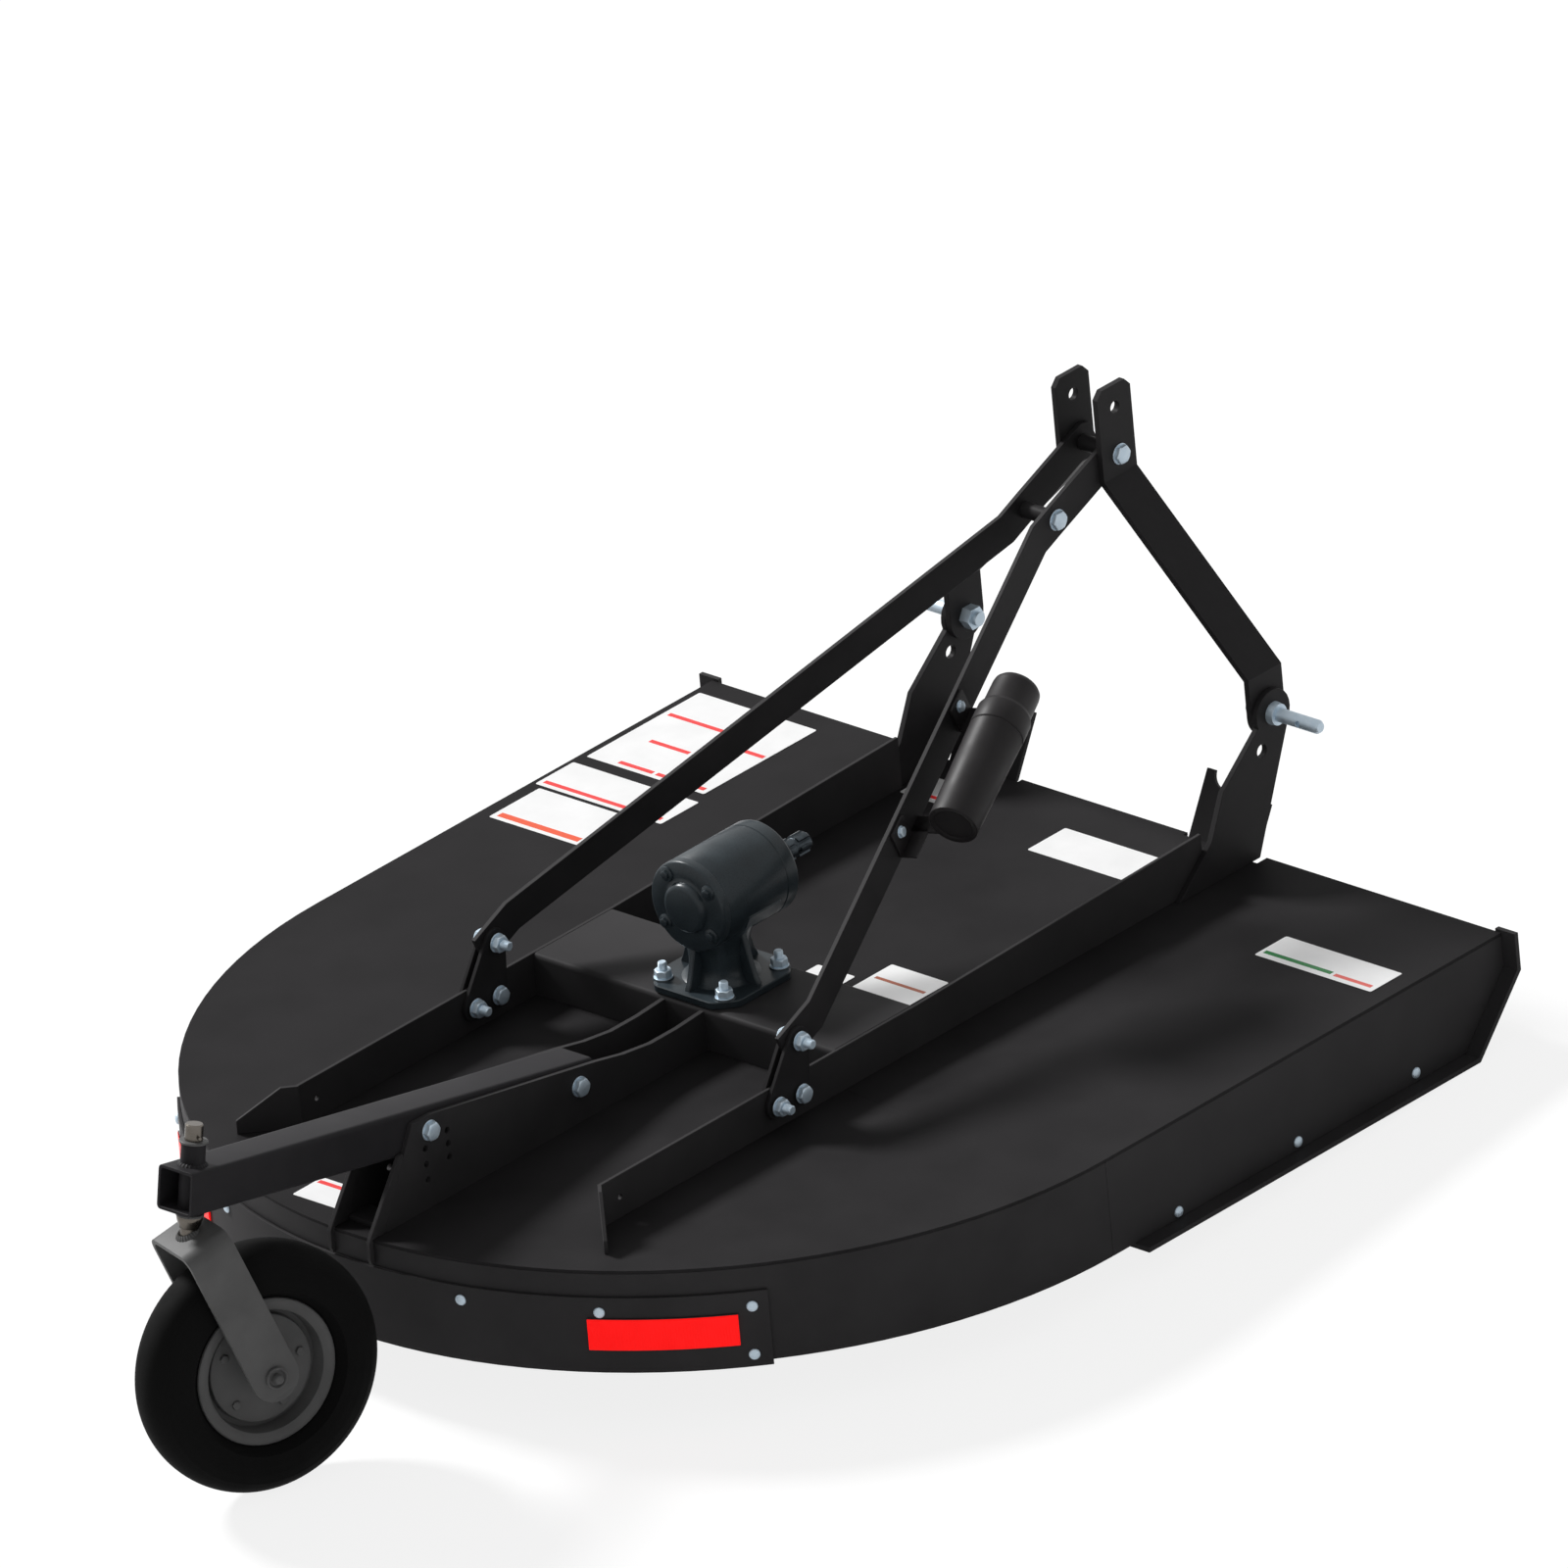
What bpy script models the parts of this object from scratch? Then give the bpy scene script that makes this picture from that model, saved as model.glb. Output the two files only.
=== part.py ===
"""Three-point-hitch brush mower: deck, hitch mast, gearbox, blades and caster tail wheel.

The machine is modelled in its deck frame: metres, X to its right, Y forward to the hitch,
Z up, with the origin at the middle of the deck's front edge, on the deck's top face.
The deck frame hangs on one empty, which is tipped at the end so that the machine stands
on its two skids and its tail wheel, as it parks.
"""
import math

import bmesh
import bpy
from mathutils import Matrix, Vector

# General
SEAT = 0.0003                    # gap between two pieces that touch
AXLE_CLEARANCE = 0.0004          # radial gap of a pin or shaft in its bore
COLLECTION = "brush_mower"

# Deck shell
DECK_WIDTH = 1.600
DECK_STRAIGHT = 0.900            # front edge to the centre of the round rear
DECK_THICKNESS = 0.005
SKIRT_DEPTH = 0.162              # deck top to the skirts' lower edge
SKIRT_THICKNESS = 0.006
FRONT_LIP_DEPTH = 0.045
FRONT_LIP_THICKNESS = 0.006
REAR_STEP = math.radians(3.0)     # one facet of the round rear

# Reliefs in the front edge, where the hitch plates stand
RELIEF_INNER_X = 0.168
RELIEF_OUTER_X = 0.328
RELIEF_DEPTH = 0.0096
RELIEF_SIDE_DEPTH = 0.022        # beside the uprights
RELIEF_LIP_DEPTH = 0.014         # into the front lip, below the deck

# Band bolted round the rear skirt
BAND_HALF_ANGLE = math.radians(48.0)
BAND_DROP = 0.043                # deck top to the band's upper edge
BAND_HEIGHT = 0.125
BAND_THICKNESS = 0.005

# Reflectors on the band
REFLECTOR_ANGLE = math.radians(36.5)
REFLECTOR_HALF_ANGLE = math.radians(8.1)
REFLECTOR_DROP = 0.078
REFLECTOR_HEIGHT = 0.051
REFLECTOR_THICKNESS = 0.003

# Skids
SKID_INSIDE = 0.012              # inboard of the skirt's outer face
SKID_OUTSIDE = 0.027             # outboard of the skirt's outer face
SKID_THICKNESS = 0.008
SKID_REAR_Y = -0.850
SKID_NOSE_RUN = 0.105            # length of the sloped nose
SKID_NOSE_RISE = 0.112
SKID_TOP_Z = 0.004
SKID_LEG_HEIGHT = 0.040
SKID_LEG_THICKNESS = 0.006

# Deck rails
RAIL_X = 0.307                   # middle of the web
RAIL_THICKNESS = 0.006
RAIL_FRONT_Y = -0.120
RAIL_FOLD_Y = -1.478
RAIL_HEIGHT_FRONT = 0.085
RAIL_HEIGHT = 0.070
RAIL_TAB_LENGTH = 0.095
RAIL_TAB_FLAT = 0.024            # level start of the tab's top edge
RAIL_TAB_END_HEIGHT = 0.022
RAIL_TAB_ANGLE = math.radians(45.0)
RAIL_HOLE_RADIUS = 0.0045
RAIL_HOLE_FROM_FOLD = 0.039
RAIL_HOLE_Z = 0.034

# Crossmember that carries the gearbox
CROSS_FRONT_Y = -0.766
CROSS_REAR_Y = -0.950
CROSS_THICKNESS = 0.007
CROSS_EDGE_ROUND = 0.008

# Gearbox, blade rotor and input shaft
ROTOR_Y = -0.860
GEAR_FLANGE_HALF = 0.088
GEAR_FLANGE_CLIP = 0.030
GEAR_FLANGE_THICKNESS = 0.012
GEAR_STUD_OFFSET = 0.062
GEAR_AXIS_Z = 0.217
GEAR_REAR_Y = -0.922
GEAR_FRONT_Y = -0.748
GEAR_CASE_RADIUS = 0.074
GEAR_NECK_RADIUS = 0.046
GEAR_NECK_TOP_RADIUS = 0.054
GEAR_RIB_REACH = 0.078
GEAR_RIB_THICKNESS = 0.010
GEAR_REAR_CAP_RADIUS = 0.040
GEAR_REAR_CAP_DEPTH = 0.010
GEAR_NOSE_RADIUS = 0.042
GEAR_NOSE_LENGTH = 0.022
GEAR_SNOUT_RADIUS = 0.043        # through crossmember and deck
GEAR_SNOUT_LENGTH = 0.030        # below the deck's underside
GEAR_SNOUT_CLEARANCE = 0.002
SHAFT_RADIUS = 0.0175
SHAFT_BORE_DEPTH = 0.030
SHAFT_FRONT_Y = -0.655
SPLINE_COUNT = 6
SPLINE_DEPTH = 0.0028
SPLINE_WIDTH = 0.0085
SHAFT_GROOVE_FROM_END = 0.030
SHAFT_GROOVE_WIDTH = 0.008
SHAFT_GROOVE_DEPTH = 0.0035
OUTPUT_RADIUS = 0.022
OUTPUT_BORE_DEPTH = 0.040

# Blade carrier and blades
CARRIER_RIM = 0.025              # sloped rim outside the flat middle
CARRIER_Z = -0.092               # underside of the pan's middle
CARRIER_DISH = 0.018             # how far the rim turns down
CARRIER_THICKNESS = 0.008
CARRIER_SEGMENTS = 40
HUB_RADIUS = 0.050
HUB_BELOW = 0.014
BLADE_PIVOT_RADIUS = 0.245
BLADE_PIN_RADIUS = 0.014
BLADE_PIN_HEAD_RADIUS = 0.024
BLADE_PIN_HEAD_HEIGHT = 0.010
BLADE_TIP_RADIUS = 0.748         # tip circle, from the rotor's axis
BLADE_WIDTH = 0.090
BLADE_THICKNESS = 0.010
BLADE_HEEL = 0.050               # blade behind its pivot
BLADE_DROP = 0.006               # running gap under the pan's rim
BLADE_LIFT = 0.026               # how far the tip's rear edge is bent up
BLADE_LIFT_LENGTH = 0.170
BLADE_SET_ANGLE = math.radians(20.0)   # parked direction, off the machine's X axis
BLADE_SWING = math.radians(100.0)

# Hitch: uprights, lower pins
HITCH_PIN_Y = 0.050
HITCH_PIN_Z = 0.221
UPRIGHT_THICKNESS = 0.010
UPRIGHT_TOP_RADIUS = 0.038
UPRIGHT_FRONT_Y = -0.006         # plate's front corner at the deck
UPRIGHT_REAR_Y = -0.190
UPRIGHT_NOTCH_Y = -0.074
UPRIGHT_NOTCH_Z = 0.138
UPRIGHT_HOLE_Y = 0.018
UPRIGHT_HOLE_Z = 0.170
UPRIGHT_HOLE_RADIUS = 0.0105
STAY_INNER_X = 0.1755
STAY_THICKNESS = 0.008
STAY_LEAN = math.radians(30.0)
STAY_FOOT_Y = -0.0091            # rear face, at the deck's underside
STAY_HEIGHT = 0.112              # along the lean
STAY_HORN_WIDTH = 0.015
STAY_HOLLOW_RADIUS = 0.024
PIN_RADIUS = 0.011
PIN_END_X = 0.416
PIN_COLLAR_RADIUS = 0.0185
PIN_COLLAR_LENGTH = 0.012
PIN_NUT_RADIUS = 0.019
PIN_NUT_LENGTH = 0.018
PIN_THREAD_LENGTH = 0.008
LINCH_HOLE_X = 0.378
LINCH_HOLE_RADIUS = 0.0052

# Mast bars
MAST_WIDTH = 0.075               # along Y
MAST_THICKNESS = 0.010
MAST_CENTRE_Y = 0.050
MAST_GAP = 0.074                 # between the two bars at the top
MAST_TOP_Z = 0.700
MAST_UPPER_BEND_Z = 0.549
MAST_LOWER_BEND_Z = 0.285
MAST_CHAMFER = 0.014
TOP_LINK_Z = 0.663
TOP_LINK_RADIUS = 0.0098
MAST_BOLT_Y = 0.052
MAST_BOLT_Z = 0.584
BRACE_BOLT_Y = -0.087
BRACE_BOLT_Z = 0.528
BOLT_RADIUS = 0.008
BOLT_HEAD_RADIUS = 0.0155
BOLT_HEAD_HEIGHT = 0.009
BOLT_END = 0.009                 # thread past the nut
SPACER_RADIUS = 0.0105

# Braces and their brackets
BRACE_WIDTH = 0.056
BRACE_THICKNESS = 0.008
BRACE_KINK_Y = -0.985            # where the splayed run turns parallel to the rail
BRACKET_BOLT_Y = -1.035
BRACKET_BOLT_Z = 0.127
BRACKET_LOW_Z = 0.041
BRACKET_FRONT_Y = -1.040
BRACKET_BACK_Y = -1.092
BRACKET_THICKNESS = 0.006
BRACKET_MARGIN = 0.022
BRACE_END_RADIUS = 0.028
BRACE_SPLAY_START = 0.045        # bend outward, as a share of the way from second bolt to kink
BRACE_END_TAPER = 0.6            # width left at the end by the mast, as a share of the full width

# Tail arm
ARM_SIZE = 0.070
ARM_WALL = 0.005
ARM_SLOPE = math.atan(0.2)
ARM_PIVOT_Y = -1.232
ARM_PIVOT_Z = 0.0595
ARM_FRONT_Y = -1.195
ARM_BEHIND_CASTER = 0.036
TAIL_PLATE_THICKNESS = 0.008
TAIL_PLATE_INSET = 0.030         # ends this far inside the deck's rear end
TAIL_PLATE_LEAN = 0.074
HEIGHT_BOLT_INSET = 0.036        # height bolt from the plates' top rear corner
ARM_HOLE_RADIUS = 0.0055
TAIL_HOLE_RISE = 0.026
TAIL_CROSS_THICKNESS = 0.008
TAIL_CROSS_LENGTH = 0.046

# Caster
CASTER_BEHIND_DECK = 0.331       # on the arm's centre line
CASTER_STEER = math.radians(-20.0)
CASTER_TRAIL = 0.125
CASTER_DROP = 0.294
CASTER_TUBE_RADIUS = 0.0190
CASTER_TUBE_ABOVE = 0.034
CASTER_TUBE_BELOW = 0.006
SPINDLE_RADIUS = 0.0140
SPINDLE_ABOVE = 0.030
WASHER_RADIUS = 0.0215
WASHER_THICKNESS = 0.004
FORK_WIDTH = 0.078
FORK_THICKNESS = 0.009
FORK_INNER = 0.110               # between the legs
FORK_BEND = 0.020                # radius of the bar's middle line
FORK_TOP_DROP = 0.078            # arm's centre line to the strap, along the spindle
AXLE_RADIUS = 0.0095
AXLE_HEAD_RADIUS = 0.0165
AXLE_HEAD_HEIGHT = 0.010

# Tail wheel
TYRE_RADIUS = 0.198
TYRE_WIDTH = 0.096
TYRE_SHOULDER = 0.036
BEAD_RADIUS = 0.112
RIM_WIDTH = 0.072
RIM_LIP_RADIUS = 0.116
RIM_WELL_RADIUS = 0.092
RIM_SHEET = 0.005
RIM_DISH_RADIUS = 0.034
WHEEL_HUB_RADIUS = 0.024
WHEEL_HUB_WIDTH = 0.104
WHEEL_SEGMENTS = 36

# Manual canister on the right brace
CANISTER_RADIUS = 0.0430
CANISTER_FOOT_RADIUS = 0.0395
CANISTER_OUT = 0.084             # tube's axis outboard of the brace's middle plane
CANISTER_BOLT_ALONG = 0.363      # upper bolt, as a share of the brace's splayed run
CANISTER_BOLT_SPACING = 0.257
CANISTER_SEAM = -0.0445          # where the cap meets the tube, from the upper bolt
CANISTER_LENGTH = 0.187          # below the seam
CANISTER_COLLAR_LENGTH = 0.040
CANISTER_CAP_RADIUS = 0.0385
CANISTER_CAP_LENGTH = 0.098
CANISTER_TAB = 0.048
CANISTER_TAB_THICKNESS = 0.004

# Finishes: colour, metallic, roughness
PAINT_BLACK = ("powder_coat_black", (0.034, 0.034, 0.036, 1.0), 0.0, 0.42)
PAINT_GEARBOX = ("gearbox_paint", (0.012, 0.018, 0.023, 1.0), 0.0, 0.38)
ZINC = ("zinc_plate", (0.40, 0.50, 0.56, 1.0), 0.85, 0.38)
STEEL = ("bare_steel", (0.32, 0.30, 0.27, 1.0), 0.9, 0.35)
GREY_PAINT = ("grey_paint", (0.065, 0.065, 0.065, 1.0), 0.0, 0.5)
RUBBER = ("tyre_rubber", (0.006, 0.006, 0.006, 1.0), 0.0, 0.75)
PLASTIC = ("black_plastic", (0.02, 0.019, 0.019, 1.0), 0.0, 0.45)
RED_LENS = ("red_reflector", (0.9, 0.01, 0.01, 1.0), 0.0, 0.15)
BLADE_STEEL = ("blade_steel", (0.10, 0.10, 0.10, 1.0), 0.6, 0.5)

HALF_DECK = DECK_WIDTH / 2
DECK_REAR_Y = -DECK_STRAIGHT - HALF_DECK
DECK_BOTTOM = -DECK_THICKNESS
CROSS_TOP = RAIL_HEIGHT
SKID_BOTTOM = -SKIRT_DEPTH - SEAT - SKID_THICKNESS
RAIL_OUTER = RAIL_X + RAIL_THICKNESS / 2
UPRIGHT_X = RAIL_OUTER + SEAT + UPRIGHT_THICKNESS / 2
MAST_TOP_X = MAST_GAP / 2 + MAST_THICKNESS / 2
MAST_FOOT_X = UPRIGHT_X - UPRIGHT_THICKNESS / 2 - SEAT - MAST_THICKNESS / 2
BRACE_TOP_X = MAST_TOP_X - MAST_THICKNESS / 2 - SEAT - BRACE_THICKNESS / 2
TAIL_PLATE_X = ARM_SIZE / 2 + SEAT + TAIL_PLATE_THICKNESS / 2
TAIL_PLATE_REAR_Y = DECK_REAR_Y + TAIL_PLATE_INSET
TAIL_TOP_REAR_Y = TAIL_PLATE_REAR_Y + TAIL_PLATE_LEAN
HEIGHT_BOLT_Y = TAIL_TOP_REAR_Y + HEIGHT_BOLT_INSET
CASTER_Y = DECK_REAR_Y - CASTER_BEHIND_DECK
ARM_REAR_Y = CASTER_Y - ARM_BEHIND_CASTER


def clear_scene():
    """Remove every object and collection that a new file starts with."""
    for item in list(bpy.data.objects):
        bpy.data.objects.remove(item, do_unlink=True)
    for item in list(bpy.data.collections):
        bpy.data.collections.remove(item)


def new_collection(name):
    collection = bpy.data.collections.new(name)
    bpy.context.scene.collection.children.link(collection)
    return collection


def finish_material(spec):
    """Give the material for one finish, made on first use."""
    name, colour, metallic, roughness = spec
    material = bpy.data.materials.get(name)
    if material is None:
        material = bpy.data.materials.new(name)
        material.use_nodes = True
        shader = material.node_tree.nodes["Principled BSDF"]
        shader.inputs["Base Color"].default_value = colour
        shader.inputs["Metallic"].default_value = metallic
        shader.inputs["Roughness"].default_value = roughness
        material.diffuse_color = colour
    return material


def empty(name, parent, location, rotation=None):
    """Add a named frame under its parent."""
    item = bpy.data.objects.new(name, None)
    item.empty_display_size = 0.1
    parts.objects.link(item)
    item.parent = parent
    item.location = location
    if rotation is not None:
        item.rotation_euler = rotation
    return item


def piece(name, mesh, finish, parent, matrix=None, smooth=True):
    """Wrap a mesh as one named sub-part under its parent frame."""
    item = bpy.data.objects.new(name, mesh)
    parts.objects.link(item)
    item.parent = parent
    if matrix is not None:
        item.matrix_local = matrix
    mesh.materials.clear()
    mesh.materials.append(finish_material(finish))
    if smooth:
        mesh.shade_smooth()
        mesh.set_sharp_from_angle(angle=math.radians(32))
    return item


def mesh_from(build):
    """Run one bmesh builder and return its mesh."""
    bm = bmesh.new()
    build(bm)
    bmesh.ops.recalc_face_normals(bm, faces=bm.faces)
    mesh = bpy.data.meshes.new("mesh")
    bm.to_mesh(mesh)
    bm.free()
    return mesh


def box_mesh(size, centre=(0, 0, 0)):
    def build(bm):
        matrix = Matrix.Translation(centre) @ Matrix.Diagonal((*size, 1.0))
        bmesh.ops.create_cube(bm, size=1.0, matrix=matrix)
    return mesh_from(build)


AXIS_TURN = {
    "X": Matrix.Rotation(math.radians(90), 4, "Y"),
    "Y": Matrix.Rotation(math.radians(-90), 4, "X"),
    "Z": Matrix.Identity(4),
}


def rod_mesh(radius, start, end, axis="Z", centre=(0, 0, 0), sides=24, end_radius=None):
    """A cylinder or cone from start to end along one axis, its line through centre."""
    radius_2 = radius if end_radius is None else end_radius

    def build(bm):
        middle = Matrix.Translation((0, 0, (start + end) / 2))
        matrix = Matrix.Translation(centre) @ AXIS_TURN[axis] @ middle
        bmesh.ops.create_cone(bm, cap_ends=True, segments=sides, radius1=radius,
                              radius2=radius_2, depth=end - start, matrix=matrix)
    return mesh_from(build)


def turned_mesh(profile, sides, matrix=None):
    """Revolve a closed (radius, height) profile about Z."""
    def build(bm):
        rings = []
        for step in range(sides):
            turn = Matrix.Rotation(math.tau * step / sides, 3, "Z")
            rings.append([bm.verts.new(turn @ Vector((r, 0, z))) for r, z in profile])
        count = len(profile)
        for step in range(sides):
            here = rings[step]
            there = rings[(step + 1) % sides]
            for k in range(count):
                j = (k + 1) % count
                if profile[k][0] > 0 or profile[j][0] > 0:
                    bm.faces.new((here[k], there[k], there[j], here[j]))
        bmesh.ops.remove_doubles(bm, verts=bm.verts, dist=1e-6)
        if matrix is not None:
            bmesh.ops.transform(bm, matrix=matrix, verts=bm.verts)
    return mesh_from(build)


def plate_mesh(outline, thickness, holes=(), round_edge=0.0):
    """A flat plate: a filled 2D curve in XY, as thick as given, with round or shaped holes."""
    curve = bpy.data.curves.new("outline", "CURVE")
    curve.dimensions = "2D"
    curve.fill_mode = "BOTH"
    curve.extrude = thickness / 2
    for points in (outline, *holes):
        spline = curve.splines.new("POLY")
        spline.points.add(len(points) - 1)
        for point, (x, y) in zip(spline.points, points):
            point.co = (x, y, 0, 1)
        spline.use_cyclic_u = True
    holder = bpy.data.objects.new("outline", curve)
    parts.objects.link(holder)
    graph = bpy.context.evaluated_depsgraph_get()
    mesh = bpy.data.meshes.new_from_object(holder.evaluated_get(graph))
    bpy.data.objects.remove(holder, do_unlink=True)
    bpy.data.curves.remove(curve)
    bm = bmesh.new()
    bm.from_mesh(mesh)
    bmesh.ops.remove_doubles(bm, verts=bm.verts, dist=1e-6)
    bmesh.ops.dissolve_limit(bm, angle_limit=math.radians(0.5), verts=bm.verts, edges=bm.edges)
    if round_edge > 0:
        rim = [e for e in bm.edges if e.calc_face_angle(0) > math.radians(60)
               and min(v.co.z for v in e.verts) > thickness / 2 - 1e-5]
        bmesh.ops.bevel(bm, geom=rim, offset=round_edge, segments=3, profile=0.5,
                        affect="EDGES", clamp_overlap=True)
    bmesh.ops.recalc_face_normals(bm, faces=bm.faces)
    bm.to_mesh(mesh)
    bm.free()
    return mesh


def circle(x, y, radius, sides=20):
    """Points of one round hole."""
    return [(x + radius * math.cos(math.tau * k / sides), y + radius * math.sin(math.tau * k / sides))
            for k in range(sides)]


def arc(x, y, radius, start, end, steps):
    """Points of an arc from start to end, both included."""
    return [(x + radius * math.cos(start + (end - start) * k / steps),
             y + radius * math.sin(start + (end - start) * k / steps)) for k in range(steps + 1)]


def joined(base, others, operation="UNION"):
    """Join meshes to the base, or cut them from it, and return the new mesh."""
    holder = bpy.data.objects.new("base", base)
    parts.objects.link(holder)
    tools = []
    for mesh in others:
        tool = bpy.data.objects.new("tool", mesh)
        cutters.objects.link(tool)
        tool.hide_render = True
        tool.display_type = "WIRE"
        tools.append(tool)
        modifier = holder.modifiers.new("boolean", "BOOLEAN")
        modifier.operation = operation
        modifier.solver = "EXACT"
        modifier.object = tool
    graph = bpy.context.evaluated_depsgraph_get()
    graph.update()
    mesh = bpy.data.meshes.new_from_object(holder.evaluated_get(graph))
    bpy.data.objects.remove(holder, do_unlink=True)
    for tool in tools:
        bpy.data.objects.remove(tool, do_unlink=True)
    return mesh


def moved(mesh, matrix):
    mesh.transform(matrix)
    return mesh


# Turns a plate drawn as (Y, Z) so that its thickness lies along X
PLATE_YZ = Matrix(((0, 0, 1, 0), (1, 0, 0, 0), (0, 1, 0, 0), (0, 0, 0, 1)))
# Turns a plate drawn as (X, Z) so that its thickness lies along Y
PLATE_XZ = Matrix(((1, 0, 0, 0), (0, 0, -1, 0), (0, 1, 0, 0), (0, 0, 0, 1)))


def side_plate(outline, thickness, x, holes=()):
    """A plate in a plane of constant X, its outline given as (y, z)."""
    mesh = plate_mesh(outline, thickness, holes)
    return moved(mesh, Matrix.Translation((x, 0, 0)) @ PLATE_YZ)


def bolt_mesh(start, end, y, z, head_side, stud=BOLT_END):
    """A bolt along X with a hexagon head on one side and a nut on the other."""
    low = min(start, end)
    high = max(start, end)
    head = (high, high + BOLT_HEAD_HEIGHT) if head_side > 0 else (low - BOLT_HEAD_HEIGHT, low)
    nut = (low - BOLT_HEAD_HEIGHT, low) if head_side > 0 else (high, high + BOLT_HEAD_HEIGHT)
    tail = (nut[0] - stud, nut[1]) if head_side > 0 else (nut[0], nut[1] + stud)
    shank = rod_mesh(BOLT_RADIUS, min(head[0], tail[0]), max(head[1], tail[1]), "X", (0, y, z), 16)
    return joined(shank, [rod_mesh(BOLT_HEAD_RADIUS, *head, "X", (0, y, z), 6),
                          rod_mesh(BOLT_HEAD_RADIUS, *nut, "X", (0, y, z), 6)])


def arm_z(y):
    """Height of the tail arm's centre line over the deck."""
    return ARM_PIVOT_Z + math.tan(ARM_SLOPE) * (ARM_PIVOT_Y - y)


def relief_steps(depth, side_depth):
    """The front edge of a sheet with its two reliefs, left to right, as (x, drop)."""
    half = UPRIGHT_X - UPRIGHT_THICKNESS / 2
    right = [(RELIEF_INNER_X, 0), (RELIEF_INNER_X, depth), (half, depth), (half, side_depth),
             (RELIEF_OUTER_X, side_depth), (RELIEF_OUTER_X, 0)]
    return [(-x, drop) for x, drop in right[::-1]] + right


def build_deck(root):
    """Deck plate with its opening for the gearbox, and the lip under its front edge."""
    rear = arc(0, -DECK_STRAIGHT, HALF_DECK, 0, -math.pi, round(math.pi / REAR_STEP))
    front = [(x, -drop) for x, drop in relief_steps(RELIEF_DEPTH, RELIEF_SIDE_DEPTH)]
    outline = [(-HALF_DECK, 0)] + front + [(HALF_DECK, 0)] + rear
    opening = circle(0, ROTOR_Y, GEAR_SNOUT_RADIUS + GEAR_SNOUT_CLEARANCE, 32)
    mesh = plate_mesh(outline, DECK_THICKNESS, [opening])
    piece("deck_plate", moved(mesh, Matrix.Translation((0, 0, -DECK_THICKNESS / 2))), PAINT_BLACK, root)
    half = HALF_DECK - SKIRT_THICKNESS - SEAT
    top = DECK_BOTTOM - SEAT
    edge = [(x, top - drop) for x, drop in relief_steps(RELIEF_LIP_DEPTH, RELIEF_LIP_DEPTH)]
    low = -FRONT_LIP_DEPTH
    lip = plate_mesh([(-half, low), (-half, top)] + edge + [(half, top), (half, low)], FRONT_LIP_THICKNESS)
    place = Matrix.Translation((0, -FRONT_LIP_THICKNESS / 2, 0)) @ PLATE_XZ
    piece("front_lip", moved(lip, place), PAINT_BLACK, root)


def skid_path():
    """Outer line of a skid from its rear end to its top end, as (y, z)."""
    front = SEAT + SKID_THICKNESS
    return [(SKID_REAR_Y, SKID_BOTTOM), (front - SKID_NOSE_RUN, SKID_BOTTOM),
            (front, SKID_BOTTOM + SKID_NOSE_RISE), (front, SKID_TOP_Z)]


def offset_path(path, distance):
    """The same open path moved to its left by a distance, with mitred corners."""
    result = []
    for k, point in enumerate(path):
        here = Vector(point)
        before = (here - Vector(path[k - 1])).normalized() if k else None
        after = (Vector(path[k + 1]) - here).normalized() if k < len(path) - 1 else None
        first = before or after
        second = after or before
        normal = Vector((-first.y - second.y, first.x + second.x)).normalized()
        reach = distance / normal.dot(Vector((-first.y, first.x)))
        result.append(tuple(here + normal * reach))
    return result


def build_skirts(root):
    """Straight side skirts cut to the skids' noses, and the round rear skirt."""
    top = DECK_BOTTOM - SEAT
    inner = offset_path(skid_path(), SKID_THICKNESS + SEAT)
    outline = [(-DECK_STRAIGHT, top), (-DECK_STRAIGHT, -SKIRT_DEPTH), (inner[1][0], -SKIRT_DEPTH),
               (0, inner[2][1]), (0, top)]
    for side, name in ((-1, "left"), (1, "right")):
        x = side * (HALF_DECK - SKIRT_THICKNESS / 2)
        piece(f"skirt_{name}", side_plate(outline, SKIRT_THICKNESS, x), PAINT_BLACK, root)
    steps = round(math.pi / REAR_STEP)
    outer = arc(0, -DECK_STRAIGHT - SEAT, HALF_DECK, 0, -math.pi, steps)
    inside = arc(0, -DECK_STRAIGHT - SEAT, HALF_DECK - SKIRT_THICKNESS, -math.pi, 0, steps)
    height = SKIRT_DEPTH + top
    mesh = plate_mesh(outer + inside, height)
    piece("skirt_rear", moved(mesh, Matrix.Translation((0, 0, top - height / 2))), PAINT_BLACK, root)


def rear_band(radius, thickness, middle, half_angle, top, height, segments):
    """A strip bent round the rear, its middle at an angle from straight back."""
    start = -math.pi / 2 + middle - half_angle
    end = -math.pi / 2 + middle + half_angle
    outer = arc(0, -DECK_STRAIGHT - SEAT, radius + thickness, start, end, segments)
    inner = arc(0, -DECK_STRAIGHT - SEAT, radius, end, start, segments)
    mesh = plate_mesh(outer + inner, height)
    return moved(mesh, Matrix.Translation((0, 0, top - height / 2)))


def build_band(root):
    """Band round the rear skirt with its two reflectors."""
    radius = HALF_DECK + SEAT
    steps = round(2 * BAND_HALF_ANGLE / REAR_STEP)
    mesh = rear_band(radius, BAND_THICKNESS, 0, BAND_HALF_ANGLE, -BAND_DROP, BAND_HEIGHT, steps)
    piece("rear_band", mesh, PAINT_BLACK, root)
    for side, name in ((-1, "left"), (1, "right")):
        lens = rear_band(radius + BAND_THICKNESS + 2 * SEAT, REFLECTOR_THICKNESS, side * REFLECTOR_ANGLE,
                         REFLECTOR_HALF_ANGLE, -REFLECTOR_DROP, REFLECTOR_HEIGHT, 8)
        piece(f"reflector_{name}", lens, RED_LENS, root)


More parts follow.
